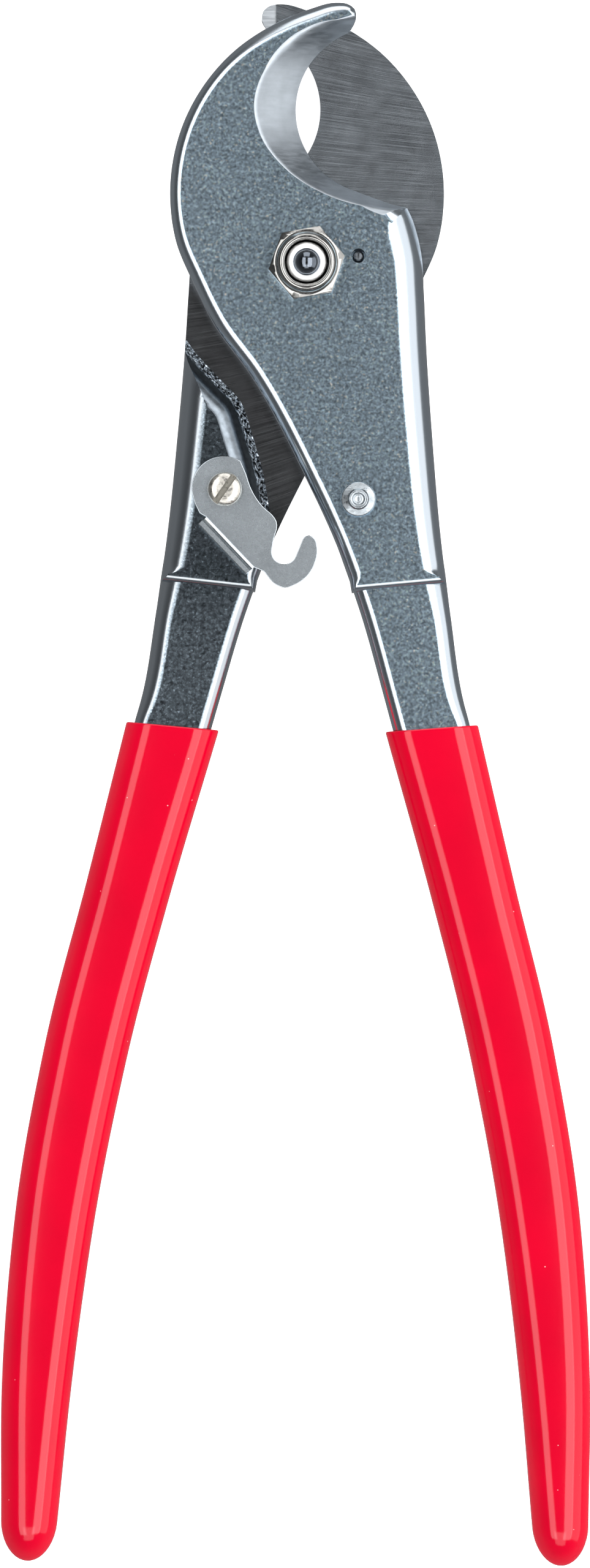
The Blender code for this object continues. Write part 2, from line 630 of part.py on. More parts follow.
def grip_section(share, inset, corner):
    """Ring of points round a grip at a share of its length, inset from its surface."""
    centre, along, half_width = handle_station(share)
    thin = max(0.0, (share - TANG_END_SHARE) / (1 - TANG_END_SHARE))
    half_height = GRIP_HALF * (1 - (1 - END_THINNING) * thin)
    dome = DOME_LENGTH / GRIP_LENGTH
    into = max(0.0, (share - (1 - dome)) / dome)
    swell = math.sqrt(max(1 - into * into, 0.01))
    wide, tall = half_width * swell - inset, half_height * swell - inset
    corner = min(corner, 0.98 * wide, 0.98 * tall)
    across = Vector((-along.y, along.x))
    skew = MOUTH_SKEW * max(0.0, 1 - share / MOUTH_REACH)
    points = []
    for quarter in range(4):
        side = 1 if quarter in (0, 3) else -1
        rise = 1 if quarter in (0, 1) else -1
        for step in range(7):
            angle = math.radians(90 * quarter + 15 * step)
            sideways = side * (wide - corner) + corner * math.cos(angle)
            upward = rise * (tall - corner) + corner * math.sin(angle)
            place = centre + across * sideways + along * sideways * skew
            points.append((place.x, place.y, upward))
    return points


def grip(name, mirrored):
    """Dipped plastic sleeve over one tang, with a domed end and a pocket for the tang."""
    placement = Matrix.Translation((0.0, 0.0, SPLIT_Z))
    if mirrored:
        placement = placement @ Matrix.Rotation(math.pi, 4, 'Y')
    dome = DOME_LENGTH / GRIP_LENGTH
    shares = [i / 20 * (1 - dome) for i in range(21)]
    shares += [1 - dome + dome * math.sin(math.radians(15 * i)) for i in range(1, 6)] + [0.9995]
    outer = [grip_section(share, 0.0, GRIP_CORNER) for share in shares]
    sleeve = new_object(name, lambda built: skin(built, outer), PARTS, placement)
    depth = TANG_END_SHARE + 4 * FIT_GAP / GRIP_LENGTH
    pocket_rings = [grip_section(depth * i / 16, GRIP_WALL, TANG_RIM + FIT_GAP) for i in range(17)]
    mouth = [tuple(Vector(a) * 2 - Vector(b)) for a, b in zip(pocket_rings[0], pocket_rings[1])]
    pocket = new_object(name + '_pocket', lambda built: skin(built, [mouth] + pocket_rings), CUTTERS,
                        placement)
    cut(sleeve, pocket)
    return sleeve


def material(name, colour, roughness, metallic):
    """Principled material."""
    made = bpy.data.materials.new(name)
    made.use_nodes = True
    shader = made.node_tree.nodes['Principled BSDF']
    shader.inputs['Base Color'].default_value = (*colour, 1.0)
    shader.inputs['Roughness'].default_value = roughness
    shader.inputs['Metallic'].default_value = metallic
    return made


def main():
    hook_lever = forging('hook_lever', False)
    blade_lever = forging('blade_lever', True)
    pocket = hexagon('blade_lever_pocket', HEX_WIDTH + 2 * FIT_GAP, -5 * MM,
                     BOLT_HEAD_HEIGHT + FIT_GAP, CUTTERS)
    cut(blade_lever, pocket)
    fixing_hole(hook_lever, 'stud_hole', STUD_NECK_DIAMETER, STUD_PLACE, FIXING_DEPTH)
    fixing_hole(hook_lever, 'pin_hole', PIN_DIAMETER, PIN_PLACE, PIN_SUNK + PIN_LENGTH + FIT_GAP)
    fixing_hole(blade_lever, 'screw_hole', SCREW_SHANK_DIAMETER, SCREW_PLACE, FIXING_DEPTH)

    plated = material('plated_steel', (0.20, 0.25, 0.30), 0.32, 1.0)
    bright = material('bright_steel', (0.75, 0.73, 0.70), 0.22, 1.0)
    zinc = material('zinc_sheet', (0.45, 0.49, 0.52), 0.35, 1.0)
    nylon = material('nylon', (0.55, 0.56, 0.58), 0.5, 0.0)
    red = material('red_plastic', (0.80, 0.005, 0.03), 0.18, 0.0)
    finishes = {
        plated: [hook_lever, blade_lever],
        bright: [pivot_bolt(), pivot_nut(), stop_pin(), catch_stud(), latch_screw()],
        zinc: [
            latch_plate(),
            ring('latch_washer', SCREW_SHANK_DIAMETER / 2 + FIT_GAP, WASHER_DIAMETER / 2,
                 FACE_Z + WASHER_GAP, FACE_Z + WASHER_GAP + WASHER_THICKNESS, SCREW_PLACE),
        ],
        nylon: [ring('nut_lock_ring', BOLT_DIAMETER / 2 + FIT_GAP, LOCK_RING_DIAMETER / 2 - FIT_GAP,
                     NUT_TOP - LOCK_RING_HEIGHT + FIT_GAP, NUT_TOP - FIT_GAP / 2, (0.0, 0.0))],
        red: [grip('right_grip', False), grip('left_grip', True)],
    }
    for finish, pieces in finishes.items():
        for piece in pieces:
            piece.data.materials.append(finish)


HANDLE_CURVE = smooth(HANDLE_LINE, 0.04)
main()
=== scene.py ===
"""Looks of the hand cable cutter: forged plated levers, lock nut, latch and dipped red grips."""
import json
import math

import bmesh
import bpy
from mathutils import Matrix, Vector, noise

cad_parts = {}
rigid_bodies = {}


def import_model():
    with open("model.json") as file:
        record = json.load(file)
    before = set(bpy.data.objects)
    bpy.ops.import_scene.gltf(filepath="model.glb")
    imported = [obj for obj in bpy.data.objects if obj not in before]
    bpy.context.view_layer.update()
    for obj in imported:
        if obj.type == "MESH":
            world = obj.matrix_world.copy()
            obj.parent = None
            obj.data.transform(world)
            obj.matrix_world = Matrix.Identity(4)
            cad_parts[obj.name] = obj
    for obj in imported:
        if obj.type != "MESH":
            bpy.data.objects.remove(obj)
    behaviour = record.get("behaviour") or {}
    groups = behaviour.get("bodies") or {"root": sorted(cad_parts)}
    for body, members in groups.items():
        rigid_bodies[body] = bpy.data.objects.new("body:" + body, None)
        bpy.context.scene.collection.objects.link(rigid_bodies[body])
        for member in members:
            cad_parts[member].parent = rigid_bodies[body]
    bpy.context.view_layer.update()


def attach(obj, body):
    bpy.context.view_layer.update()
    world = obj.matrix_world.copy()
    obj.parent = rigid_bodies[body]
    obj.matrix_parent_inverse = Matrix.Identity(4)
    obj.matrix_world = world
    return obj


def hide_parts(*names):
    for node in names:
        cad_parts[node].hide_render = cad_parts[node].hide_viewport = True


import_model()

MM = 0.001

# The same driving dimensions as the CAD, in metres
TANG_LENGTH = 90.1 * MM
GRIP_LENGTH = 163.5 * MM
GRIP_SPREAD = 27.0 * MM
LEVER_THICKNESS = 12.4 * MM
TANG_THICKNESS = 10.8 * MM
GRIP_WALL = 1.2 * MM
GRIP_CORNER = 5.0 * MM
MOUTH_SKEW = math.tan(math.radians(10.1))
MOUTH_REACH = 0.14
TANG_RIM = 2.6 * MM
SHOULDER_AT = 62.8 * MM
SHOULDER_SLOPE = 0.10
SHOULDER_MIDDLE = 18.4 * MM
EDGE_LAND = 0.4 * MM
WALL_DRAFT = 3.2 * MM
FIT_GAP = 0.3 * MM
LAP_GAP = 0.3 * MM
BOLT_DIAMETER = 8.0 * MM
BOLT_HEAD_HEIGHT = 3.0 * MM
HEX_WIDTH = 13.0 * MM
HEX_TURN = math.radians(40.6)
NUT_HEIGHT = 6.2 * MM
COLLAR_HEIGHT = 1.9 * MM
COLLAR_DIAMETER = 11.9 * MM
LOCK_RING_DIAMETER = 10.4 * MM
LOCK_RING_HEIGHT = 1.6 * MM
BOLT_STANDOUT = 1.2 * MM
PIN_DIAMETER = 2.2 * MM
PIN_LENGTH = 4.5 * MM
PIN_SUNK = 0.6 * MM
PIN_PLACE = (10.1 * MM, 1.8 * MM)
STUD_PLACE = (10.5 * MM, -45.7 * MM)
STUD_HEAD_DIAMETER = 6.7 * MM
STUD_NECK_DIAMETER = 4.0 * MM
SCREW_PLACE = (-15.5 * MM, -44.0 * MM)
SCREW_HEAD_DIAMETER = 6.6 * MM
SCREW_HEAD_HEIGHT = 2.2 * MM
SCREW_SHANK_DIAMETER = 4.0 * MM
SCREW_SLOT_WIDTH = 1.2 * MM
SCREW_SLOT_DEPTH = 1.0 * MM
SCREW_SLOT_TURN = math.radians(55)
WASHER_THICKNESS = 0.4 * MM
WASHER_DIAMETER = 9.0 * MM
WASHER_GAP = 0.2 * MM
LATCH_THICKNESS = 1.2 * MM
LATCH_SLOT_WIDTH = 4.7 * MM
TAB_HEIGHT = 4.6 * MM
BEND_RADIUS = 0.9 * MM
CLOSING_ANGLE = math.radians(11.7)
LATCH_HANG = math.radians(36.0)
FIXING_DEPTH = 6.5 * MM
DOME_LENGTH = 7.5 * MM
TANG_END_SHARE = 0.8
END_THINNING = 0.86

GRIP_HALF = TANG_THICKNESS / 2 + FIT_GAP + GRIP_WALL
SPLIT_Z = GRIP_HALF
HALF = LEVER_THICKNESS / 2
FACE_Z = SPLIT_Z + HALF
BACK_Z = SPLIT_Z - HALF
NUT_BASE = FACE_Z + FIT_GAP
NUT_TOP = NUT_BASE + NUT_HEIGHT + COLLAR_HEIGHT
LATCH_BASE = FACE_Z + 2 * WASHER_GAP + WASHER_THICKNESS
LATCH_TOP = LATCH_BASE + LATCH_THICKNESS + FIT_GAP
FIXING_END = FACE_Z - FIXING_DEPTH + FIT_GAP
SKIN_STEP = 0.05 * MM           # keeps joined skins from lying in one plane
JAW_ALLOWANCE = 0.8 * MM        # metal left for the bevel cutter to take
DOME_SHARE = DOME_LENGTH / GRIP_LENGTH
HEX_CORNER = HEX_WIDTH / 2 / math.cos(math.pi / 6)
PAST = 5 * MM                   # how far cutters reach past a face
AXIS = (0.0, 0.0)

# Finish that only the looks need, or that differs a little from the CAD's
SHOULDER_FILLET = 1.5 * MM      # a little larger than the CAD's
SHOULDER_TAPER = 1.3 * MM       # length over which the side rims narrow to it
WALL_ROUNDING = 2.3 * MM        # tangent length of the half-lap wall's rounded crest
WALL_ROOT = 0.5 * MM            # fillet at the wall's foot
BURR_HEIGHT = 0.45 * MM         # rough flash along the wall's foot
BURR_MIDDLE = 0.9 * MM          # how far from the foot it is at its thickest
FAR_CORNER = (-60 * MM, 70 * MM)    # corner of the lap cutter, clear of the head
LAP_FACE_AREA = 1000 * MM ** 2  # only the cutter's level caps are larger
CREST_ROUNDING = 0.55 * MM      # tangent length of the jaw bevel's rounded crest
TIP_ROUNDING = 2.3 * MM         # the same at the jaw's tip
TIP_ZONE = (38 * MM, 9 * MM)    # height where the tip's rounding begins, and its run-in
THROAT_ROUNDING = 4.2 * MM      # the same where the throat meets the rounded outer side
THROAT_ZONE = (11 * MM, 8 * MM) # distance from the axis where it begins, and its run-in
EDGE_FACET = 1.8 * MM           # second, steeper facet along the cutting edge
EDGE_FACET_RISE = 0.22 * MM
JAW_STEP = 0.4                  # fineness of the bevel's lines, in millimetres
JAW_POINTS = 150                # points kept along each of them
TIP_RELIEF_X = -6.4 * MM        # where the blade tip's ground lead-in begins
TIP_RELIEF_SLOPE = math.tan(math.radians(11))
TIP_RELIEF_SPAN = (40 * MM, 56 * MM)
DOME_BALL = 2.75 * MM           # radius of the ball at the bolt's end
GRIP_LIP = 0.35 * MM            # rounding of the grips' mouths

# Outlines in millimetres, as in the CAD, with the rim radius at each point
HEAD_BACK = [
    (8.3, 46.4, 0.25), (9.2, 48.3, 0.7), (8.9, 50.0, 1.3), (7.6, 51.0, 1.9), (5.2, 51.3, 2.5),
    (0.0, 50.0, 3.0),
    (-6.8, 47.0, 2.8), (-14.5, 41.7, 2.4), (-20.6, 34.6, 2.2), (-24.4, 27.2, 2.2),
    (-26.5, 18.5, 2.2), (-26.7, 12.0, 2.2), (-25.6, 4.8, 2.3), (-22.3, -3.1, 2.4),
    (-17.9, -11.8, 2.5),
]
TANG_INNER = [
    (-10.7, -21.6, 2.6), (0.0, -40.9, 2.6), (6.9, -55.7, 2.6), (11.3, -68.1, 2.6), (15.9, -84.0, 2.6),
]
TANG_OUTER = [
    (31.7, -85.5, 3.0), (28.8, -67.8, 3.6), (27.1, -55.8, 4.6), (24.8, -32.0, 5.4), (23.6, -16.0, 5.6),
]
TANG_ROOT = [
    (24.9, -46.5, 3.0), (21.0, -39.5, 3.0), (14.0, -37.0, 3.0), (7.5, -40.0, 3.0), (4.8, -47.0, 3.0),
]
HEAD_SIDE = [(23.0, -5.0, 5.7), (22.5, 2.2, 5.9), (21.6, 6.4, 6.0), (20.7, 9.2, 5.6), (19.5, 11.6, 4.2)]
EDGE_CENTRE = (14.0, 30.6)
EDGE_RADIUS = 16.4
EDGE_ARC = (112, 252)
TIP_ARC_END = 118               # where the jaw's rough outline leaves that arc for the tip
EDGE_THROAT = [(13.6, 13.3), (17.0, 12.2), (20.0, 11.7), (34.0, 11.5)]
BEVEL_TOP = [
    (16.0, 50.2), (8.3, 47.9), (4.5, 47.1), (-2.6, 43.8), (-8.1, 38.0), (-10.2, 31.0),
    (-8.8, 25.0), (-3.9, 18.7), (4.8, 13.5), (14.7, 11.2), (20.0, 10.9), (34.0, 10.9),
]
WALL_UPPER = [(40.0, -13.0), (24.0, -14.6), (22.2, -17.0)]
WALL_KNEE = 0.54                # where a point on the straight run between the two stands
WALL_LOWER = [(-29.0, 0.6), (-34.0, 0.4), (-41.0, 0.4), (-48.0, 1.0), (-54.0, 1.8)]
WALL_EXIT = (-8.0, -66.0)
HANDLE_TOP_X = 25.3 * MM
HANDLE_LINE = [
    (0.0, 0.0, 8.9), (0.32, 0.2, 8.2), (0.62, 0.4, 8.1), (0.83, 0.6, 7.7), (0.945, 0.8, 6.7),
    (0.985, 0.95, 5.5), (1.0, 1.0, 5.1),
]
# Stud head from its middle out, as (share of its radius, height above the latch)
STUD_HEAD = [
    (0.0, 1.15), (0.14, 1.2), (0.22, 1.32), (0.30, 1.2), (0.36, 1.55), (0.54, 1.6), (0.60, 1.25),
    (0.96, 0.85), (1.0, 0.7), (1.0, 0.4),
]
LATCH_DRAWN_REACH = 16.4
LATCH_HEAD = ((-0.3, 0.0), 6.1, 105, 238)
LATCH_HEEL = [(-2.0, -6.0), (0.0, -6.6)]
TAB_SPAN = (1.4, 14.6)
TAB_LINE = -6.2
LATCH_FINGER = [
    (16.4, -5.4), (19.8, -5.5), (21.4, -4.7), (22.4, -2.8), (22.8, 0.0), (22.0, 2.8), (20.2, 5.1),
    (18.6, 5.9), (17.4, 5.6), (17.0, 4.7), (17.4, 3.5),
]
LATCH_SLOT_ARC = (22, -145)
LATCH_UPPER = [
    (13.6, -0.2), (12.9, 0.9), (12.3, 2.0), (11.3, 2.9), (9.8, 3.2), (7.6, 3.0), (5.4, 3.2),
    (3.2, 3.8), (0.6, 5.0),
]

PIECES = bpy.data.collections.new('pieces')
CUTTERS = bpy.data.collections.new('cutters')
for collection in (PIECES, CUTTERS):
    bpy.context.scene.collection.children.link(collection)


# ---------------------------------------------------------------- outlines

def smooth(points, spacing):
    """Points along the smooth curve through the given ones, about spacing apart."""
    knots = [Vector(point) for point in points]
    lengths = [max((b - a).xy.length, 1e-9) for a, b in zip(knots, knots[1:])]
    chords = [(b - a) / length for a, b, length in zip(knots, knots[1:], lengths)]
    slopes = [chords[0]]
    for before, after, length_before, length_after in zip(chords, chords[1:], lengths, lengths[1:]):
        total = length_before + length_after
        slopes.append((before * length_after + after * length_before) / total)
    slopes.append(chords[-1])
    curve = []
    for i, length in enumerate(lengths):
        steps = max(1, round(length / spacing))
        for step in range(steps):
            t = step / steps
            curve.append(knots[i] * (2 * t ** 3 - 3 * t ** 2 + 1)
                         + slopes[i] * length * (t ** 3 - 2 * t ** 2 + t)
                         + knots[i + 1] * (3 * t ** 2 - 2 * t ** 3)
                         + slopes[i + 1] * length * (t ** 3 - t ** 2))
    return curve + [knots[-1]]


def arc(centre, radius, start, end, steps):
    """Points on a circle from one angle to another, in degrees."""
    angles = [math.radians(start + (end - start) * i / steps) for i in range(steps + 1)]
    return [(centre[0] + radius * math.cos(a), centre[1] + radius * math.sin(a)) for a in angles]


def normals(outline):
    """Mitred normals to the left of a closed outline's direction, one for each point."""
    points = [Vector(point[:2]) for point in outline]
    result = []
    for before, here, after in zip(points[-1:] + points[:-1], points, points[1:] + points[:1]):
        arriving, leaving = (here - before).normalized(), (after - here).normalized()
        both = Vector((-arriving.y - leaving.y, arriving.x + leaving.x))
        result.append(both / max(1 + arriving.dot(leaving), 0.5))
    return result


def in_metres(points):
    """Outline points in metres, from millimetres."""
    return [tuple(value * MM for value in point) for point in points]


def resample(points, count):
    """The same open outline as count points at even distances."""
    points = [Vector(point) for point in points]
    marks = [0.0]
    for a, b in zip(points, points[1:]):
        marks.append(marks[-1] + (b - a).length)
    even = []
    segment = 0
    for i in range(count):
        mark = marks[-1] * i / (count - 1)
        while segment < len(points) - 2 and marks[segment + 1] < mark:
            segment += 1
        share = (mark - marks[segment]) / (marks[segment + 1] - marks[segment])
        even.append(points[segment].lerp(points[segment + 1], min(share, 1.0)))
    return even


def rounded_corner(start, corner, end, steps):
    """Points from start to end along the quadratic curve that a corner pulls."""
    points = []
    for step in range(steps + 1):
        t = step / steps
        points.append(start * (1 - t) ** 2 + corner * 2 * t * (1 - t) + end * t ** 2)
    return points


# ---------------------------------------------------------------- mesh building

def new_object(name, mesh_builder, collection, placement=Matrix.Identity(4)):
    """Object whose mesh a bmesh function has filled, with its place in the vertices."""
    mesh = bpy.data.meshes.new(name)
    built = bmesh.new()
    mesh_builder(built)
    bmesh.ops.recalc_face_normals(built, faces=built.faces)
    built.to_mesh(mesh)
    built.free()
    mesh.transform(placement)
    made = bpy.data.objects.new(name, mesh)
    collection.objects.link(made)
    if collection is CUTTERS:
        made.hide_render = True
    return made


def skin(built, rings):
    """Closed skin over rings of points of one length, capped at both ends."""
    loops = [[built.verts.new(point) for point in ring] for ring in rings]
    count = len(rings[0])
    for lower, upper in zip(loops, loops[1:]):
        for i in range(count):
            after = (i + 1) % count
            built.faces.new((lower[i], lower[after], upper[after], upper[i]))
    built.faces.new(loops[0][::-1])
    built.faces.new(loops[-1])


def rounded_slab(outline, half, steps):
    """Mesh builder for a slab from -half to +half whose rims are rounded."""
    inward = normals(outline)

    def ring(share, side):
        angle = share * math.pi / 2
        points = []
        for point, normal in zip(outline, inward):
            radius = min(point[2], half)
            inset = radius * (1 - math.sin(angle))
            height = half - radius * (1 - math.cos(angle))
            points.append((point[0] + normal.x * inset, point[1] + normal.y * inset, side * height))
        return points

    lower = [ring(step / steps, -1) for step in range(steps + 1)]
    upper = [ring(step / steps, 1) for step in reversed(range(steps + 1))]
    return lambda built: skin(built, lower + upper)


def dressed(made, *materials):
    """The same object with its materials."""
    for material in materials:
        made.data.materials.append(material)
    return made


def placed(turned_over):
    """Place of a lever's or grip's own frame, turned half round for the rear one."""
    middle = Matrix.Translation((0.0, 0.0, SPLIT_Z))
    return middle @ Matrix.Rotation(math.pi, 4, 'Y') if turned_over else middle


def cut(target, cutter, operation='DIFFERENCE'):
    """Exact Boolean that leaves the cutter's own material on the faces it makes."""
    boolean = target.modifiers.new(cutter.name, 'BOOLEAN')
    boolean.operation = operation
    boolean.object = cutter
    boolean.solver = 'EXACT'
    boolean.material_mode = 'TRANSFER'


def finished(target, sharp=30):
    """Applies the modifiers, then shades smooth with sharp edges and flat faces kept flat."""
    depsgraph = bpy.context.evaluated_depsgraph_get()
    mesh = bpy.data.meshes.new_from_object(target.evaluated_get(depsgraph))
    target.modifiers.clear()
    target.data = mesh
    mesh.shade_smooth()
    mesh.set_sharp_from_angle(angle=math.radians(sharp))
    weighted = target.modifiers.new('flat_faces', 'WEIGHTED_NORMAL')
    weighted.keep_sharp = True
    weighted.weight = 80
    return target


def cylinder(name, radius, low, high, place, collection, sides=96, turn=0.0):
    """Upright cylinder or prism between two heights."""
    matrix = Matrix.Translation((place[0], place[1], (low + high) / 2)) @ Matrix.Rotation(turn, 4, 'Z')

    def build(built):
        bmesh.ops.create_cone(built, cap_ends=True, cap_tris=False, segments=sides, radius1=radius,
                              radius2=radius, depth=high - low)

    return new_object(name, build, collection, matrix)


def turned(name, profile, place, collection, sides=96, closed=False):
    """Turned shape: a profile of (radius, height) swept round Z."""
    def build(built):
        rings = []
        for radius, height in profile:
            if radius < 1e-7:
                rings.append([built.verts.new((0, 0, height))] * sides)
                continue
            ring = []
            for i in range(sides):
                angle = 2 * math.pi * i / sides
                ring.append(built.verts.new((radius * math.cos(angle), radius * math.sin(angle), height)))
            rings.append(ring)
        pairs = list(zip(rings, rings[1:])) + ([(rings[-1], rings[0])] if closed else [])
        for first, second in pairs:
            for i in range(sides):
                after = (i + 1) % sides
                corners = [first[i], first[after], second[after], second[i]]
                built.faces.new(list(dict.fromkeys(corners)))

    return new_object(name, build, collection, Matrix.Translation((place[0], place[1], 0.0)))


def softened(profile, radius, steps=4):
    """Turned profile with each corner off the axis rounded."""
    points = [Vector(point) for point in profile]
    result = [points[0]]
    for before, here, after in zip(points, points[1:], points[2:]):
        back, on = before - here, after - here
        length = min(radius, 0.45 * back.length, 0.45 * on.length)
        result += rounded_corner(here + back.normalized() * length, here,
                                 here + on.normalized() * length, steps)
    return [tuple(point) for point in result + [points[-1]]]


# ---------------------------------------------------------------- materials

def feed(target, socket, source):
    """Puts a node's first output, a given output or a plain value into an input."""
    if isinstance(source, bpy.types.Node):
        source = source.outputs[0]
    if isinstance(source, bpy.types.NodeSocket):
        target.id_data.links.new(source, target.inputs[socket])
    else:
        target.inputs[socket].default_value = source


def add(tree, kind, *sources, **values):
    """Node of a kind: sources go to its inputs in order, values to inputs or settings by name."""
    made = tree.nodes.new(kind)
    for key, value in values.items():
        if key in made.inputs:
            feed(made, key, value)
        else:
            setattr(made, key, value)
    for socket, source in enumerate(sources):
        feed(made, socket, source)
    return made


def tree_of(name, **values):
    """New node material, its node tree and its shader, with shader inputs set by name."""
    made = bpy.data.materials.new(name)
    made.use_nodes = True
    shader = made.node_tree.nodes['Principled BSDF']
    for key, value in values.items():
        feed(shader, key, value)
    return made, made.node_tree, shader


def mapped(tree, scale=(1.0, 1.0, 1.0), turn=(0.0, 0.0, 0.0)):
    """Object coordinates through a Mapping node."""
    coordinates = add(tree, 'ShaderNodeTexCoord').outputs['Object']
    return add(tree, 'ShaderNodeMapping', coordinates, Scale=scale, Rotation=turn)


def ranged(tree, source, start, end, low, high):
    """Value mapped from one range to another, and held inside it."""
    limits = {'From Min': start, 'From Max': end, 'To Min': low, 'To Max': high}
    return add(tree, 'ShaderNodeMapRange', source, **limits)


def noise_value(tree, source, scale, low, high, detail=2.0, start=0.3, end=0.7):
    """Noise mapped to a range of values."""
    texture = add(tree, 'ShaderNodeTexNoise', Vector=source, Scale=scale, Detail=detail)
    return ranged(tree, texture, start, end, low, high)


def times(tree, first, second):
    """Product of two values."""
    return add(tree, 'ShaderNodeMath', first, second, operation='MULTIPLY')


def scaled(tree, colour, value):
    """Colour scaled by a value."""
    return add(tree, 'ShaderNodeVectorMath', colour, operation='SCALE', Scale=value)


def blended(tree, share, low, high, kind='FLOAT'):
    """Value or colour between two others; a colour comes out as output 2."""
    return add(tree, 'ShaderNodeMix', data_type=kind, Factor=share, A=low, B=high)


def bumped(tree, height, distance, shader):
    """Relief from a height, by a distance."""
    bump = add(tree, 'ShaderNodeBump', Height=height, Distance=distance, Strength=1.0)
    feed(shader, 'Normal', bump)


def flatness(tree):
    """1 on level faces and 0 on rims and sides."""
    normal = add(tree, 'ShaderNodeNewGeometry').outputs['Normal']
    upward = add(tree, 'ShaderNodeSeparateXYZ', normal).outputs['Z']
    level = add(tree, 'ShaderNodeMath', upward, operation='ABSOLUTE')
    return ranged(tree, level, 0.955, 0.995, 0.0, 1.0)


def plated(name, face, rim, roughness, grain=1.0, pitting=0.0, shade_span=None):
    """Satin plating over forged faces, with fine grain and sparkle, burnished on its rims.

    Shade span is two places along the tool and a factor: painted shade darkens the faces from the first
    place on, and makes them darker by the factor from the second.
    """
    made, tree, shader = tree_of(name, Metallic=1.0)
    base = mapped(tree)
    level = flatness(tree)
    fine = noise_value(tree, base, 2300, 1 - 0.24 * grain, 1 + 0.24 * grain, 4.0, 0.34, 0.66)
    clouds = noise_value(tree, base, 210, 0.92, 1.08, 5.0)
    pits = noise_value(tree, base, 800, 1.0, 1 - 0.6 * pitting, 3.0, 0.62, 0.70)
    sparkle = noise_value(tree, base, 2100, 0.0, 0.9 * grain, 2.0, 0.61, 0.72)
    grained = times(tree, times(tree, fine, clouds), pits)
    tone = add(tree, 'ShaderNodeMath', grained, sparkle, operation='ADD')
    # painted shade: the level faces darken along the tool towards the head
    if shade_span:
        start, end, factor = shade_span
        along = add(tree, 'ShaderNodeSeparateXYZ', base).outputs['Y']
        tone = times(tree, tone, ranged(tree, along, start, end, 1.0, factor))
    shade = blended(tree, level, (*rim, 1.0), scaled(tree, face, tone), 'RGBA')
    feed(shader, 'Base Color', shade.outputs[2])
    rough = noise_value(tree, base, 1300, roughness - 0.02 * grain, roughness + 0.05 * grain, 3.0)
    feed(shader, 'Roughness', blended(tree, level, 0.20, rough))
    dents = noise_value(tree, base, 2000, 0.0, 1.0, 3.0, 0.35, 0.75)
    bumped(tree, times(tree, dents, level), 0.003 * MM * grain, shader)
    return made


def ground(name, colour, roughness, scale, depth, turn=0.0, contrast=0.18):
    """Ground steel: fine long scratches along one direction."""
    made, tree, shader = tree_of(name, Metallic=1.0)
    along = mapped(tree, (scale * 0.03, scale, scale * 0.3), (0.0, 0.0, turn))
    lines = noise_value(tree, along, 1.0, 1 - contrast, 1 + contrast, 4.0)
    blotch = noise_value(tree, mapped(tree), 260, 0.9, 1.1, 3.0)
    feed(shader, 'Base Color', scaled(tree, colour, times(tree, lines, blotch)))
    feed(shader, 'Roughness', noise_value(tree, along, 1.3, roughness - 0.06, roughness + 0.08))
    bumped(tree, noise_value(tree, along, 1.0, 0.0, 1.0, 4.0), depth, shader)
    return made


def lap_floor(name, blade, recess_shade):
    """Lap face: ground blade with fanned scratches; below the pivot, painted shade darkens the recess
    beside the other lever.
    """
    made, tree, shader = tree_of(name, Metallic=1.0)
    base = mapped(tree)
    x, y, _ = add(tree, 'ShaderNodeSeparateXYZ', base).outputs
    fan = add(tree, 'ShaderNodeMath', y, 7.0, -0.06, operation='MULTIPLY_ADD')
    across = add(tree, 'ShaderNodeMath', x, fan, y, operation='MULTIPLY_ADD')
    fanned = add(tree, 'ShaderNodeCombineXYZ', x, across)
    stretched = add(tree, 'ShaderNodeMapping', fanned, Scale=(60, 5200, 1))
    lines = noise_value(tree, stretched, 1.0, 0.86, 1.15, 4.0)
    blotch = noise_value(tree, base, 330, 0.86, 1.16, 4.0)
    # painted shade: from 2 mm above to 6 mm below the pivot the lap face turns to the dark recess colour
    below = ranged(tree, y, 2 * MM, -6 * MM, 0.0, 1.0)
    tone = blended(tree, below, (*blade, 1.0), (*recess_shade, 1.0), 'RGBA').outputs[2]
    feed(shader, 'Base Color', scaled(tree, tone, times(tree, lines, blotch)))
    feed(shader, 'Roughness', noise_value(tree, stretched, 1.3, 0.19, 0.28))
    bumped(tree, lines, 0.006 * MM, shader)
    return made


def wall_casting(name, colour):
    """As-forged wall of the half-lap: dark, with rough bright and black flash along its foot."""
    made, tree, shader = tree_of(name, Metallic=1.0, Roughness=0.3)
    base = mapped(tree)
    z = add(tree, 'ShaderNodeSeparateXYZ', base).outputs['Z']
    above = add(tree, 'ShaderNodeMath', z, SPLIT_Z, operation='SUBTRACT')
    height = add(tree, 'ShaderNodeMath', above, operation='ABSOLUTE')
    flash = ranged(tree, height, 2.2 * MM, 1.2 * MM, 0.0, 1.0)
    plain = noise_value(tree, base, 900, 0.8, 1.2, 4.0)
    speckle = noise_value(tree, base, 1500, 0.05, 3.2, 3.0, 0.4, 0.62)
    feed(shader, 'Base Color', scaled(tree, colour, blended(tree, flash, plain, speckle)))
    bumped(tree, times(tree, speckle, flash), 0.12 * MM, shader)
    return made


def bright(name, colour, roughness, scratch=1.0, metallic=1.0):
    """Bright metal or nylon with light handling scratches."""
    made, tree, shader = tree_of(name, Metallic=metallic)
    base = mapped(tree)
    tone = noise_value(tree, base, 900, 1 - 0.12 * scratch, 1 + 0.06 * scratch, 3.0)
    feed(shader, 'Base Color', scaled(tree, colour, tone))
    feed(shader, 'Roughness', noise_value(tree, base, 1500, roughness * 0.7, roughness * 1.5, 3.0))
    lines = mapped(tree, (300, 6000, 900), (0.0, 0.0, 0.9))
    bumped(tree, noise_value(tree, lines, 1.0, 0.0, 1.0), 0.006 * MM * scratch, shader)
    return made


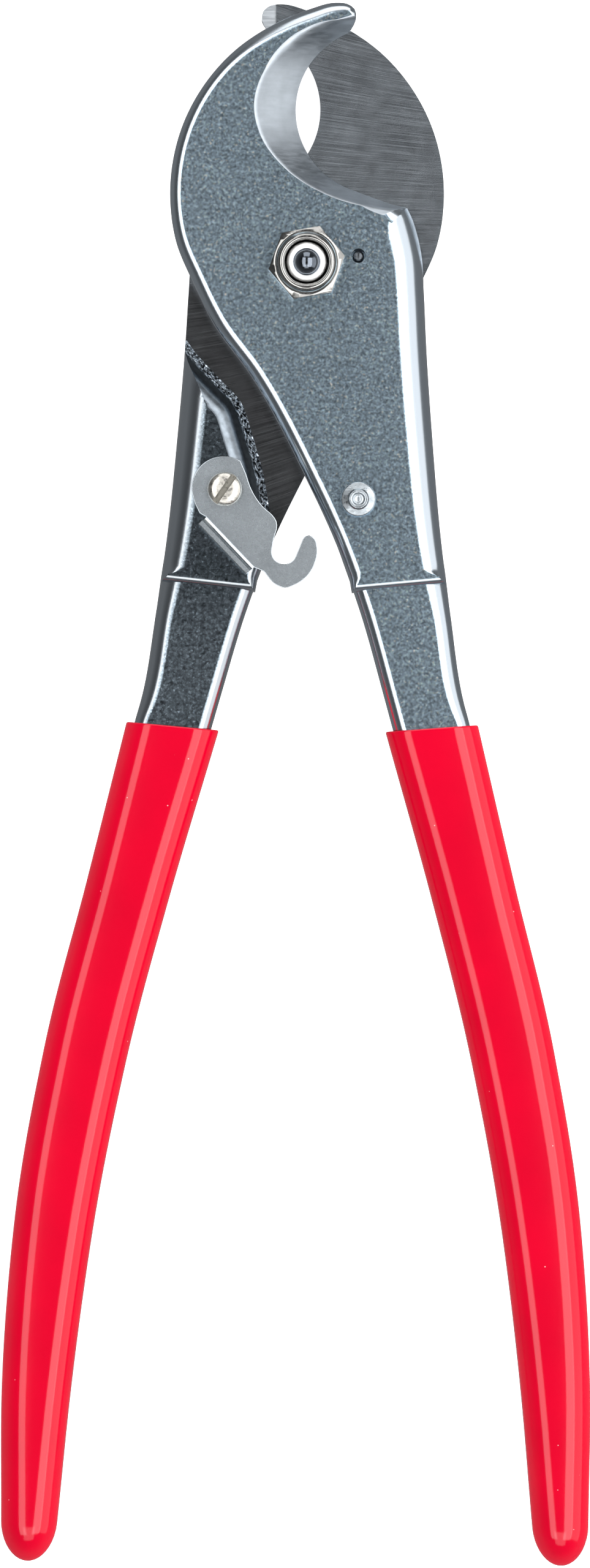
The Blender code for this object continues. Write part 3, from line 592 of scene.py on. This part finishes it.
def dipped(name, colour):
    """Glossy dipped plastic with slow waves from its flow and a few specks of dust."""
    made, tree, shader = tree_of(name, Roughness=0.12, IOR=1.5)
    base = mapped(tree)
    tone = noise_value(tree, base, 60, 0.94, 1.05, 3.0)
    specks = add(tree, 'ShaderNodeTexVoronoi', Vector=base, Scale=210.0).outputs['Distance']
    dust = ranged(tree, specks, 0.03, 0.02, 0.0, 0.75)
    dusty = blended(tree, dust, scaled(tree, colour, tone), (0.9, 0.6, 0.6, 1.0), 'RGBA')
    feed(shader, 'Base Color', dusty.outputs[2])
    bumped(tree, noise_value(tree, base, 90, 0.0, 1.0, 1.0), 0.012 * MM, shader)
    return made


FRONT_PLATE = plated('front_plating', (0.59, 0.75, 0.88), (0.60, 0.66, 0.72), 0.17)
# Rear lever: its rims keep the plating's colour; its level faces carry painted shade, a darker copy of the
# same plating, darker still from 60 mm below the pivot towards the head
REAR_PLATE_SHADED = plated('rear_plating_painted_shade', (0.235, 0.285, 0.325), (0.52, 0.56, 0.60), 0.17, 1.3, 0.9,
                    (-0.072, -0.060, 0.58))
BEVEL_GROUND = ground('bevel_ground', (0.44, 0.48, 0.52), 0.42, 1500, 0.004 * MM, 1.2, 0.04)
# Lap faces: ground blade, with painted shade as a near-black colour in the recess below the pivot
LAP_GROUND_AND_SHADE = lap_floor('lap_flat_and_painted_shade', (0.26, 0.285, 0.31), (0.085, 0.088, 0.092))
CAST_RECESS = wall_casting('lap_wall_casting', (0.22, 0.25, 0.28))
NICKEL = bright('bright_nickel', (0.40, 0.395, 0.38), 0.16)
POLISHED = bright('polished_ring', (0.95, 0.95, 0.94), 0.42, 0.5)
DARK_NICKEL = bright('bolt_end_nickel', (0.16, 0.18, 0.21), 0.10)
ZINC = plated('zinc_sheet_grain', (0.42, 0.46, 0.49), (0.50, 0.54, 0.57), 0.27, 0.15)
TIP_GROUND = ground('tip_ground', (0.30, 0.32, 0.34), 0.35, 2600, 0.01 * MM, 0.0, 0.2)
# Nylon ring coloured near black: painted shade in the gap between the bolt and the nut's collar
SHADED_NYLON = bright('lock_ring_nylon_painted_shade', (0.10, 0.095, 0.09), 0.4, metallic=0.0)
RED = dipped('red_dip', (0.68, 0.0, 0.022))
PIN_STEEL = bright('pin_steel', (0.10, 0.11, 0.12), 0.25)
# Darker colour on the faces of the screw's slot: painted shade in the slot
SLOT_SHADE = bright('screw_slot_painted_shade', (0.26, 0.25, 0.22), 0.35)
STUD_STEEL = bright('stud_steel', (0.44, 0.48, 0.51), 0.26, 1.5)
SCREW_STEEL = bright('screw_steel', (0.72, 0.69, 0.63), 0.26, 2.5)


# ---------------------------------------------------------------- levers

def handle_station(share):
    """Centre, direction and grip half-width at a share of the grip's length."""
    def at(value):
        for low, high in zip(HANDLE_CURVE, HANDLE_CURVE[1:]):
            if value <= high.y:
                return low.lerp(high, (value - low.y) / (high.y - low.y))
        return HANDLE_CURVE[-1]

    def place(point):
        return Vector((HANDLE_TOP_X + GRIP_SPREAD * point.x, -TANG_LENGTH - GRIP_LENGTH * point.y))

    here = at(share)
    ahead, behind = place(at(min(share + 0.01, 1.0))), place(at(max(share - 0.01, 0.0)))
    return place(here), (ahead - behind).normalized(), here.z * MM


def tang_edge(side, rim):
    """One edge of the tang inside its grip, from the mouth down."""
    edge = []
    for i in range(15):
        share = TANG_END_SHARE * i / 14
        centre, along, half_width = handle_station(share)
        across = Vector((-along.y, along.x)) * side
        point = centre + across * (half_width - GRIP_WALL - FIT_GAP)
        edge.append((point.x, point.y, rim))
    return edge


def shoulder_height(x):
    """Height of the shoulder line at a distance from the tool's axis."""
    return -SHOULDER_AT + SHOULDER_SLOPE * (x - SHOULDER_MIDDLE)


def above_shoulder(points):
    """Points of an edge above the shoulder, their rims narrowing to the shoulder's own."""
    kept = []
    for x, y, rim in points:
        clear = y - shoulder_height(x)
        if clear > SHOULDER_FILLET:
            blend = min(1.0, (clear - SHOULDER_FILLET) / SHOULDER_TAPER)
            kept.append((x, y, SHOULDER_FILLET + (rim - SHOULDER_FILLET) * blend))
    return kept


def head_slab(rim_steps):
    """Mesh builder for the thick part of the forging, from the jaw to the shoulder."""
    back = above_shoulder(smooth(in_metres(HEAD_BACK + TANG_INNER), 0.9 * MM))
    outer = above_shoulder(smooth(in_metres(TANG_OUTER + HEAD_SIDE), 0.9 * MM))
    left, right = back[-1][0] + 0.4 * MM, outer[0][0] + 0.1 * MM
    across = [left + (right - left) * i / 16 for i in range(17)]
    sill = [(x, shoulder_height(x), SHOULDER_FILLET) for x in across]
    rough_edge = arc(EDGE_CENTRE, EDGE_RADIUS, EDGE_ARC[1], TIP_ARC_END, 24)
    jaw = [(x * MM + JAW_ALLOWANCE, y * MM, 0.25 * MM) for x, y in rough_edge]
    return rounded_slab(back + sill + outer + jaw, HALF, rim_steps)


def tang_slab(rim_steps):
    """Mesh builder for the thinner tang, from inside the head to inside the grip."""
    inner = in_metres(TANG_INNER)[2:] + tang_edge(-1, TANG_RIM)
    outer = tang_edge(1, TANG_RIM)[::-1] + in_metres(TANG_OUTER)[:3]
    inner = [(x + SKIN_STEP, y, rim) for x, y, rim in inner]
    outer = [(x - SKIN_STEP, y, rim) for x, y, rim in outer] + in_metres(TANG_ROOT)
    outline = [tuple(point) for point in smooth(inner, 1.5 * MM) + smooth(outer, 1.5 * MM)]
    return rounded_slab(outline, TANG_THICKNESS / 2, rim_steps)


def lap_wall():
    """Half-lap wall at the split plane, from the outer edge to the inner one."""
    edge = smooth(in_metres(TANG_INNER), 2 * MM)
    turn = Matrix.Rotation(-CLOSING_ANGLE, 2)
    lower = []
    for height, clearance in WALL_LOWER:
        place = min(edge, key=lambda point: abs(point.y - height * MM)).xy
        closed = turn @ place
        lower.append((-closed.x + clearance * MM, closed.y - clearance * MM / 2))
    upper = [(x * MM, y * MM) for x, y in WALL_UPPER]
    knee = tuple(Vector(upper[-1]).lerp(Vector(lower[0]), WALL_KNEE))
    return upper + [knee] + lower + [(WALL_EXIT[0] * MM, WALL_EXIT[1] * MM)]


def wall_profile():
    """Half-lap wall from its foot to past the face, as (outward, depth below the split)."""
    crest = Vector((WALL_DRAFT, HALF + LAP_GAP / 2))
    up = crest.normalized()
    foot = []
    for step in range(4):
        angle = math.radians(30 * step)
        foot.append(Vector((WALL_ROOT * (math.sin(angle) - 1), WALL_ROOT * (1 - math.cos(angle)))))
    wall = [up * length * MM for length in (0.8, 1.1, 1.5, 2.2, 3.0)]
    start, end = crest - up * WALL_ROUNDING, crest + Vector((WALL_ROUNDING, 0.02 * MM))
    return foot + wall + rounded_corner(start, crest, end, 7) + [end + Vector((0.2 * MM, 2 * MM))]


def burr(point, depth):
    """Extra metal of the rough flash along the wall's foot."""
    place = Vector((point.x / MM, point.y / MM, depth / MM))
    rough = noise.noise(place * 1.1) + 0.6 * noise.noise(place * 2.7)
    shape = math.exp(-((depth - BURR_MIDDLE) / (BURR_MIDDLE / 2)) ** 2)
    return shape * BURR_HEIGHT * max(0.0, 0.45 + rough)


def lap_cutter(name, placement):
    """Cutter that takes away the other lever's half of the head, with a rounded, flashed wall."""
    wall = [Vector(point[:2]) for point in smooth([(x, y, 0.0) for x, y in lap_wall()], 0.6 * MM)]
    outward = normals(wall)
    outward[0], outward[-1] = outward[1], outward[-2]
    far_x, far_y = FAR_CORNER
    sections = []
    for offset, depth in wall_profile():
        ring = []
        for point, normal in zip(wall, outward):
            moved = point + normal * (offset - burr(point, depth))
            ring.append((moved.x, moved.y, LAP_GAP / 2 - depth))
        _, y, z = ring[-1]
        sections.append(ring + [(far_x, y, z), (far_x, far_y, z), (ring[0][0], far_y, z)])
    cutter = new_object(name, lambda built: skin(built, sections), CUTTERS, placement)
    for face in cutter.data.polygons:
        if face.area > LAP_FACE_AREA and abs(face.normal.z) > 0.99:
            face.material_index = 1
    return dressed(cutter, CAST_RECESS, LAP_GROUND_AND_SHADE)


def jaw_edge(spacing):
    """Cutting edge, from past the jaw's tip to past the throat, in millimetres."""
    steps = round(math.radians(EDGE_ARC[1] - EDGE_ARC[0]) * EDGE_RADIUS / spacing)
    curve = arc(EDGE_CENTRE, EDGE_RADIUS, *EDGE_ARC, steps)
    throat = smooth([curve[-1]] + EDGE_THROAT, spacing)[1:]
    return [(20.0, 48.6), (12.0, 47.5)] + curve + [tuple(point) for point in throat]


def bevel_cutter(name, placement):
    """Cutter that grinds the jaw's bevel, its edge facet and its rounded crest."""
    lines = (jaw_edge(JAW_STEP), smooth(BEVEL_TOP, JAW_STEP))
    edge, top = (resample(in_metres(line), JAW_POINTS) for line in lines)
    low = LAP_GAP / 2 + EDGE_LAND
    rings = []
    for start, end in zip(edge, top):
        run = (end - start).length
        out = (end - start) / run
        facet = min(EDGE_FACET, 0.3 * run)
        slope = (HALF - low) / run
        profile = [Vector((0.0, -HALF)), Vector((0.0, low)),
                   Vector((facet, low + slope * facet + EDGE_FACET_RISE * facet / EDGE_FACET))]
        crest = Vector((run, HALF))
        near_tip = max(0.0, min(1.0, (end.y - TIP_ZONE[0]) / TIP_ZONE[1]))
        near_side = max(0.0, min(1.0, (end.x - THROAT_ZONE[0]) / THROAT_ZONE[1]))
        reach = (CREST_ROUNDING + (TIP_ROUNDING - CREST_ROUNDING) * near_tip
                 + (THROAT_ROUNDING - CREST_ROUNDING) * near_side)
        before = crest - Vector((1.0, slope)) * min(reach, 0.45 * run)
        after = crest + Vector((reach, 0.02 * MM))
        profile += rounded_corner(before, crest, after, 6) + [after + Vector((0.3 * MM, 1.5 * MM))]
        rings.append([(*(start + out * point.x), point.y) for point in profile])
    levels = [list(level) for level in zip(*rings)]
    far_x, far_y = levels[0][-1][0] + PAST, levels[0][0][1] + PAST
    sections = [level + [(far_x, level[-1][1], level[0][2]), (far_x, far_y, level[0][2]),
                         (level[0][0], far_y, level[0][2])] for level in levels]
    cutter = new_object(name, lambda built: skin(built, sections), CUTTERS, placement)
    return dressed(cutter, BEVEL_GROUND)


def forging(name, turned_over, finish):
    """One lever: the forging with its half-lap and ground jaw, at rest, on the pivot axis."""
    placement = placed(turned_over)
    lever = dressed(new_object(name, head_slab(9), PIECES, placement), finish)
    tang = dressed(new_object(name + '_tang', tang_slab(9), CUTTERS, placement), finish)
    cut(lever, tang, 'UNION')
    cut(lever, lap_cutter(name + '_lap', placement))
    cut(lever, bevel_cutter(name + '_bevel', placement))
    cut(lever, cylinder(name + '_bore', BOLT_DIAMETER / 2 + FIT_GAP, BACK_Z - PAST, FACE_Z + PAST,
                        AXIS, CUTTERS))
    return lever


def fixing_hole(lever, label, diameter, place, depth):
    """Blind hole in a lever's upper face."""
    cut(lever, cylinder(lever.name + '_' + label, diameter / 2 + FIT_GAP, FACE_Z - depth,
                        FACE_Z + PAST, place, CUTTERS, 48))


def hexagon(name, corner, low, high, collection):
    """Upright hexagonal prism on the pivot axis, by its radius to the corners."""
    return cylinder(name, corner, low, high, AXIS, collection, sides=6, turn=HEX_TURN)


def tip_relief():
    """Cutter for the ground lead-in on the upper face of the blade's tip."""
    face = SPLIT_Z - LAP_GAP / 2
    far = 6 * MM
    section = [(TIP_RELIEF_X, face), (TIP_RELIEF_X - far, face - far * TIP_RELIEF_SLOPE),
               (TIP_RELIEF_X - far, face + 3 * MM), (TIP_RELIEF_X, face + 3 * MM)]
    rings = [[(x, y, z) for x, z in section] for y in TIP_RELIEF_SPAN]
    return dressed(new_object('tip_relief', lambda built: skin(built, rings), CUTTERS), TIP_GROUND)


HANDLE_CURVE = smooth(HANDLE_LINE, 0.02)


def hook_lever():
    lever = forging('forged_hook_lever', False, FRONT_PLATE)
    fixing_hole(lever, 'stud_hole', STUD_NECK_DIAMETER, STUD_PLACE, FIXING_DEPTH)
    fixing_hole(lever, 'pin_hole', PIN_DIAMETER, PIN_PLACE, PIN_SUNK + PIN_LENGTH + FIT_GAP)
    return finished(lever)


def blade_lever():
    lever = forging('forged_blade_lever', True, REAR_PLATE_SHADED)
    corner = HEX_CORNER + FIT_GAP / math.cos(math.pi / 6)
    cut(lever, hexagon('blade_lever_pocket', corner, -PAST, BOLT_HEAD_HEIGHT + FIT_GAP, CUTTERS))
    fixing_hole(lever, 'screw_hole', SCREW_SHANK_DIAMETER, SCREW_PLACE, FIXING_DEPTH)
    cut(lever, tip_relief())
    return finished(lever)


# ---------------------------------------------------------------- pivot, pin, stud and screw

def pivot_bolt():
    """Bolt with a low hexagon head and a domed end inside a polished ring."""
    head = dressed(hexagon('bolt_with_domed_end', HEX_CORNER, 0.0, BOLT_HEAD_HEIGHT, PIECES), NICKEL)
    radius = BOLT_DIAMETER / 2
    top = NUT_TOP + BOLT_STANDOUT
    dome = [(DOME_BALL * math.sin(angle), top - DOME_BALL * (1 - math.cos(angle)))
            for angle in (math.radians(6 * step) for step in range(12))]
    ledge = dome[-1][1]
    rim = [(DOME_BALL, ledge + 0.1 * MM), (3.1 * MM, ledge + 0.22 * MM), (3.5 * MM, ledge + 0.12 * MM),
           (3.8 * MM, ledge - 0.2 * MM), (3.92 * MM, ledge - 0.7 * MM), (radius, ledge - 1.2 * MM),
           (radius, BOLT_HEAD_HEIGHT / 2), (0.0, BOLT_HEAD_HEIGHT / 2)]
    shank = turned('bolt_shank', softened(dome + rim, 0.15 * MM, 2), AXIS, CUTTERS)
    dressed(shank, NICKEL, DARK_NICKEL, POLISHED)
    for face in shank.data.polygons:
        if face.center.z > NUT_TOP - MM:
            face.material_index = 1 if face.center.xy.length < DOME_BALL - 0.1 * MM else 2
    cut(head, shank, 'UNION')
    return finished(head, 45)


def pivot_nut():
    """Lock nut: chamfered hexagon and a round collar that holds the nylon ring."""
    low, high = NUT_BASE, NUT_BASE + NUT_HEIGHT
    nut = dressed(hexagon('hex_lock_nut', HEX_CORNER, low, high, PIECES), NICKEL)
    flat = HEX_WIDTH / 2 - 0.2 * MM
    drop = (HEX_CORNER - flat) * math.tan(math.radians(30))
    chamfer = [(0.0, high), (flat, high), (HEX_CORNER, high - drop), (HEX_CORNER, low + drop),
               (flat, low), (0.0, low)]
    shell = turned('nut_chamfer', chamfer, AXIS, CUTTERS)
    radius = COLLAR_DIAMETER / 2
    rolled = [(0.0, 0.4), (4.35, 0.4), (4.6, 0.05), (5.0, 0.0), (5.35, 0.15), (5.7, 0.6)]
    collar = [(out * MM, NUT_TOP - down * MM) for out, down in rolled]
    collar += [(radius - 0.05 * MM, NUT_TOP - 1.1 * MM), (radius - 0.15 * MM, high + 0.2 * MM),
               (radius + 0.25 * MM, high - 0.1 * MM), (0.0, high - 0.5 * MM)]
    ring = turned('nut_collar', softened(collar, 0.25 * MM, 3), AXIS, CUTTERS)
    bore = cylinder('nut_bore', BOLT_DIAMETER / 2 + FIT_GAP, low - MM, NUT_TOP + MM, AXIS, CUTTERS)
    lip = 0.5 * MM
    groove = cylinder('nut_groove', LOCK_RING_DIAMETER / 2, NUT_TOP - LOCK_RING_HEIGHT,
                      NUT_TOP - lip, AXIS, CUTTERS)
    for cutter in (shell, ring, bore, groove):
        dressed(cutter, NICKEL)
    cut(nut, shell, 'INTERSECT')
    cut(nut, ring, 'UNION')
    cut(nut, bore)
    cut(nut, groove)
    return finished(nut, 35)


def lock_ring():
    """Nylon ring in the nut's collar."""
    inner, outer = BOLT_DIAMETER / 2 + FIT_GAP, LOCK_RING_DIAMETER / 2 - FIT_GAP / 3
    low, high = NUT_TOP - LOCK_RING_HEIGHT + FIT_GAP, NUT_TOP - 0.6 * MM
    profile = [(inner, low), (inner, high - 0.35 * MM), (inner + 0.3 * MM, high), (outer, high - 0.1 * MM),
               (outer, low)]
    made = turned('nylon_lock_ring', profile, AXIS, PIECES, closed=True)
    # the ring's near-black colour is painted shade
    return finished(dressed(made, SHADED_NYLON), 50)


def latch_washer():
    """Flat washer under the latch."""
    inner, outer = SCREW_SHANK_DIAMETER / 2 + FIT_GAP, WASHER_DIAMETER / 2
    low, high = FACE_Z + WASHER_GAP, FACE_Z + WASHER_GAP + WASHER_THICKNESS
    edge = 0.1 * MM
    profile = [(inner, low), (inner, high), (outer - edge, high), (outer, high - edge),
               (outer, low + edge), (outer - edge, low)]
    made = turned('flat_washer', profile, SCREW_PLACE, PIECES, closed=True)
    return finished(dressed(made, ZINC), 40)


def stop_pin():
    """Small pin with a domed end, a little below the front lever's face."""
    radius = PIN_DIAMETER / 2
    top = FACE_Z - PIN_SUNK
    dome = [(radius * math.sin(angle), top - radius / 2 * (1 - math.cos(angle)))
            for angle in (math.radians(9 * step) for step in range(1, 11))]
    profile = [(0.0, top)] + dome + [(radius, top - PIN_LENGTH), (0.0, top - PIN_LENGTH)]
    made = turned('pressed_pin', profile, PIN_PLACE, PIECES, 48)
    return finished(dressed(made, PIN_STEEL), 50)


def catch_stud():
    """Stud with a base collar, a neck for the latch and a coned head, riveted at the top."""
    head, neck = STUD_HEAD_DIAMETER / 2, STUD_NECK_DIAMETER / 2
    profile = [(share * head, LATCH_TOP + height * MM) for share, height in STUD_HEAD]
    profile += [
        (neck, LATCH_TOP), (neck, FACE_Z + 0.6 * MM), (neck + 0.8 * MM, FACE_Z + 0.5 * MM),
        (neck + 0.8 * MM, FACE_Z + FIT_GAP), (neck, FACE_Z + FIT_GAP), (neck, FIXING_END),
        (0.0, FIXING_END),
    ]
    made = turned('riveted_catch_stud', softened(profile, 0.12 * MM, 2), STUD_PLACE, PIECES)
    return finished(dressed(made, STUD_STEEL), 50)


def latch_screw():
    """Slotted screw with a low round head that the latch turns on."""
    head, shank = SCREW_HEAD_DIAMETER / 2, SCREW_SHANK_DIAMETER / 2
    top = LATCH_TOP + SCREW_HEAD_HEIGHT
    crown = [(0.0, 0.0), (0.5, 0.05), (0.75, 0.18), (0.93, 0.5), (1.0, 1.1)]
    profile = [(share * head, top - down * MM) for share, down in crown]
    profile += [(head, LATCH_TOP + 0.1 * MM), (head - 0.1 * MM, LATCH_TOP), (shank, LATCH_TOP),
                (shank, FIXING_END), (0.0, FIXING_END)]
    screw = turned('slotted_latch_screw', softened(profile, 0.2 * MM, 3), SCREW_PLACE, PIECES)
    dressed(screw, SCREW_STEEL)
    matrix = Matrix.Translation((*SCREW_PLACE, top)) @ Matrix.Rotation(SCREW_SLOT_TURN, 4, 'Z')
    size = (2 * SCREW_HEAD_DIAMETER, SCREW_SLOT_WIDTH, 2 * SCREW_SLOT_DEPTH)

    def build(built):
        bmesh.ops.create_cube(built, size=1.0, matrix=Matrix.Diagonal((*size, 1.0)))

    # the slot's faces take the darker colour, painted shade
    cut(screw, dressed(new_object('screw_slot', build, CUTTERS, matrix), SLOT_SHADE))
    return finished(screw, 40)


# ---------------------------------------------------------------- latch

def latch_outline(scale):
    """Outline of the latch's flat plate in its own frame, in metres."""
    centre, radius, start, end = LATCH_HEAD
    head = arc(centre, radius, start, end, 28)
    heel = LATCH_HEEL + [(TAB_SPAN[0], TAB_LINE), (TAB_SPAN[1], TAB_LINE)]
    finger = [tuple(point) for point in smooth(LATCH_FINGER, 0.5)]
    slot = arc((LATCH_DRAWN_REACH, 0.0), LATCH_SLOT_WIDTH / MM / 2, *LATCH_SLOT_ARC, 20)
    upper = [tuple(point) for point in smooth(LATCH_UPPER, 0.7)]
    return [(x * scale, y * scale) for x, y in head + heel + finger + slot + upper]


def latch_plate():
    """Latch at rest: flat hook plate with its bent-up thumb tab, hanging from its screw."""
    closed_stud = Matrix.Rotation(-CLOSING_ANGLE, 2) @ Vector(STUD_PLACE)
    reach = closed_stud - Vector(SCREW_PLACE)
    rest = math.atan2(reach.y, reach.x) - LATCH_HANG
    scale = reach.length / LATCH_DRAWN_REACH
    placement = Matrix.Translation((*SCREW_PLACE, LATCH_BASE)) @ Matrix.Rotation(rest, 4, 'Z')
    edge = 0.16 * MM
    outline = latch_outline(scale)
    inward = normals(outline)
    lower = [(edge, 0.0), (0.3 * edge, 0.3 * edge), (0.0, edge)]
    upper = [(inset, LATCH_THICKNESS - height) for inset, height in reversed(lower)]
    rings = [[(x + normal.x * inset, y + normal.y * inset, height)
              for (x, y), normal in zip(outline, inward)] for inset, height in lower + upper]
    plate = new_object('hook_latch_sheet', lambda built: skin(built, rings), PIECES, placement)
    dressed(plate, ZINC)

    line = TAB_LINE * scale
    inner, outer = BEND_RADIUS, BEND_RADIUS + LATCH_THICKNESS
    bend = [(math.sin(angle), math.cos(angle))
            for angle in (math.radians(7.5 * step) for step in range(13))]
    outside = [(line - outer * out, outer - outer * down) for out, down in bend]
    inside = [(line - inner * out, outer - inner * down) for out, down in reversed(bend)]
    root = line + 1.5 * MM
    top = [(line - outer, TAB_HEIGHT - edge), (line - outer + edge, TAB_HEIGHT),
           (line - inner - edge, TAB_HEIGHT), (line - inner, TAB_HEIGHT - edge)]
    section = ([(root, SKIN_STEP)] + [(y, max(z, SKIN_STEP)) for y, z in outside] + top + inside
               + [(root, LATCH_THICKNESS - SKIN_STEP)])
    section = [(y, min(z, LATCH_THICKNESS - SKIN_STEP) if y > line - SKIN_STEP else z)
               for y, z in section]
    ends = [TAB_SPAN[0] * scale + SKIN_STEP, TAB_SPAN[1] * scale - SKIN_STEP]
    tab_rings = [[(x, y, z) for y, z in section] for x in ends]
    tab = new_object('latch_tab', lambda built: skin(built, tab_rings), CUTTERS, placement)
    cut(plate, dressed(tab, ZINC), 'UNION')
    cut(plate, cylinder('latch_hole', SCREW_SHANK_DIAMETER / 2 + FIT_GAP, FACE_Z, FACE_Z + PAST,
                        SCREW_PLACE, CUTTERS, 48))
    return finished(plate, 38)


# ---------------------------------------------------------------- grips

def grip_section(share, inset, corner):
    """Ring of points round a grip at a share of its length, inset from its surface."""
    centre, along, half_width = handle_station(share)
    thin = max(0.0, (share - TANG_END_SHARE) / (1 - TANG_END_SHARE))
    half_height = GRIP_HALF * (1 - (1 - END_THINNING) * thin)
    into = max(0.0, (share - (1 - DOME_SHARE)) / DOME_SHARE)
    swell = math.sqrt(max(1 - into * into, 0.01))
    wide, tall = half_width * swell - inset, half_height * swell - inset
    corner = min(corner, 0.98 * wide, 0.98 * tall)
    across = Vector((-along.y, along.x))
    skew = MOUTH_SKEW * max(0.0, 1 - share / MOUTH_REACH)
    points = []
    for quarter in range(4):
        side = 1 if quarter in (0, 3) else -1
        rise = 1 if quarter in (0, 1) else -1
        for step in range(13):
            angle = math.radians(90 * quarter + 7.5 * step)
            sideways = side * (wide - corner) + corner * math.cos(angle)
            upward = rise * (tall - corner) + corner * math.sin(angle)
            place = centre + across * sideways + along * sideways * skew
            points.append((place.x, place.y, upward))
    return points


def grip(name, mirrored):
    """Dipped plastic sleeve with a rounded lip, a domed end and a pocket for the tang."""
    rings = []
    for step in reversed(range(5)):
        angle = math.radians(22.5 * step)
        share = GRIP_LIP * (1 - math.sin(angle)) / GRIP_LENGTH
        rings.append(grip_section(share, GRIP_LIP * (1 - math.cos(angle)), GRIP_CORNER))
    shares = [0.01 + i / 60 * (0.99 - DOME_SHARE) for i in range(61)]
    shares += [1 - DOME_SHARE + DOME_SHARE * math.sin(math.radians(9 * i)) for i in range(1, 10)]
    shares.append(0.9997)
    rings += [grip_section(share, 0.0, GRIP_CORNER) for share in shares]
    depth = TANG_END_SHARE + 4 * FIT_GAP / GRIP_LENGTH
    pocket = [grip_section(0.0, GRIP_WALL - GRIP_LIP / 2, TANG_RIM + FIT_GAP)]
    pocket += [grip_section(depth * max(i, 0.1) / 16, GRIP_WALL, TANG_RIM + FIT_GAP) for i in range(17)]
    made = new_object(name, lambda built: skin(built, pocket[::-1] + rings), PIECES, placed(mirrored))
    made.data.shade_smooth()
    made.data.set_sharp_from_angle(angle=math.radians(50))
    return dressed(made, RED)


BUILT = [
    (hook_lever(), 'hook_lever', 'front_lever', 'plated_steel'),
    (blade_lever(), 'blade_lever', 'rear_lever', 'plated_steel'),
    (pivot_bolt(), 'pivot_bolt', 'rear_lever', 'bright_steel'),
    (pivot_nut(), 'pivot_nut', 'rear_lever', 'bright_steel'),
    (lock_ring(), 'nut_lock_ring', 'rear_lever', 'nylon'),
    (stop_pin(), 'stop_pin', 'front_lever', 'bright_steel'),
    (catch_stud(), 'catch_stud', 'front_lever', 'bright_steel'),
    (latch_screw(), 'latch_screw', 'rear_lever', 'bright_steel'),
    (latch_washer(), 'latch_washer', 'rear_lever', 'zinc_sheet'),
    (latch_plate(), 'latch_plate', 'latch', 'zinc_sheet'),
    (grip('dipped_right_grip', False), 'right_grip', 'front_lever', 'red_plastic'),
    (grip('dipped_left_grip', True), 'left_grip', 'rear_lever', 'red_plastic'),
]
for piece, node, body, slot in BUILT:
    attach(piece, body)
    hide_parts(node)
for cutter in list(CUTTERS.objects):
    bpy.data.objects.remove(cutter, do_unlink=True)
bpy.data.collections.remove(CUTTERS)


# ---------------------------------------------------------------- studio

def studio():
    """White floor, dark surround and soft boxes along both sides of the tool."""
    floor = new_object('floor', lambda built: bmesh.ops.create_grid(
        built, x_segments=1, y_segments=1, size=12.0), PIECES, Matrix.Translation((0, 0, -0.2 * MM)))
    material, _, shader = tree_of('pale_floor', Roughness=0.9)
    feed(shader, 'Base Color', (0.92, 0.92, 0.92, 1.0))
    feed(shader, 'Emission Color', (1.0, 1.0, 1.0, 1.0))
    feed(shader, 'Emission Strength', 0.95)
    dressed(floor, material)
    floor.visible_glossy = False

    world = bpy.data.worlds.new('studio')
    bpy.context.scene.world = world
    world.use_nodes = True
    tree = world.node_tree
    direction = add(tree, 'ShaderNodeTexCoord').outputs['Generated']
    ramp = add(tree, 'ShaderNodeValToRGB', add(tree, 'ShaderNodeSeparateXYZ', direction).outputs['Z'])
    stops = ((0.0, (0.20, 0.205, 0.21, 1.0)), (0.65, (0.055, 0.057, 0.06, 1.0)))
    for element, (position, colour) in zip(ramp.color_ramp.elements, stops):
        element.position = position
        element.color = colour
    feed(tree.nodes['Background'], 'Color', ramp)
    feed(tree.nodes['Background'], 'Strength', 1.0)

    # name, direction it leans to, angle from upright, distance, width across, length, radiance
    boxes = [
        ('right_box', 0, 27, 1.6, 1.0, 2.4, 3.0),
        ('right_side', 0, 63, 1.7, 1.4, 2.4, 1.2),
        ('left_box', 180, 22, 1.6, 0.75, 2.4, 2.6),
        ('front_box', -90, 36, 1.7, 0.9, 1.0, 1.5),
        ('back_side', 90, 64, 1.7, 1.2, 1.2, 1.8),
    ]
    for name, toward, angle, distance, width, length, radiance in boxes:
        lamp = bpy.data.lights.new(name, 'AREA')
        lamp.shape = 'RECTANGLE'
        lamp.size = width
        lamp.size_y = length
        lamp.energy = radiance * width * length * math.pi
        holder = bpy.data.objects.new(name, lamp)
        lean = Matrix.Rotation(math.radians(toward), 4, 'Z') @ Matrix.Rotation(math.radians(angle), 4, 'Y')
        aimed_at = Matrix.Translation((0.0, -0.1, 0.0))
        holder.matrix_world = aimed_at @ lean @ Matrix.Translation((0.0, 0.0, distance))
        holder.visible_camera = False
        bpy.context.scene.collection.objects.link(holder)


def camera():
    """Long lens, straight down on the tool, framed like the photograph."""
    lens = bpy.data.cameras.new('camera')
    distance = 1.48
    frame_height = 0.3054
    middle_x, middle_y = -1.3 * MM, -101.2 * MM
    turn = 0.0094
    lens.lens = lens.sensor_width * distance / frame_height
    holder = bpy.data.objects.new('camera', lens)
    holder.location = (middle_x, middle_y, FACE_Z + distance)
    holder.rotation_euler = (0.0, 0.0, turn)
    bpy.context.scene.collection.objects.link(holder)
    bpy.context.scene.camera = holder


studio()
camera()
bpy.context.scene.view_settings.view_transform = 'Standard'
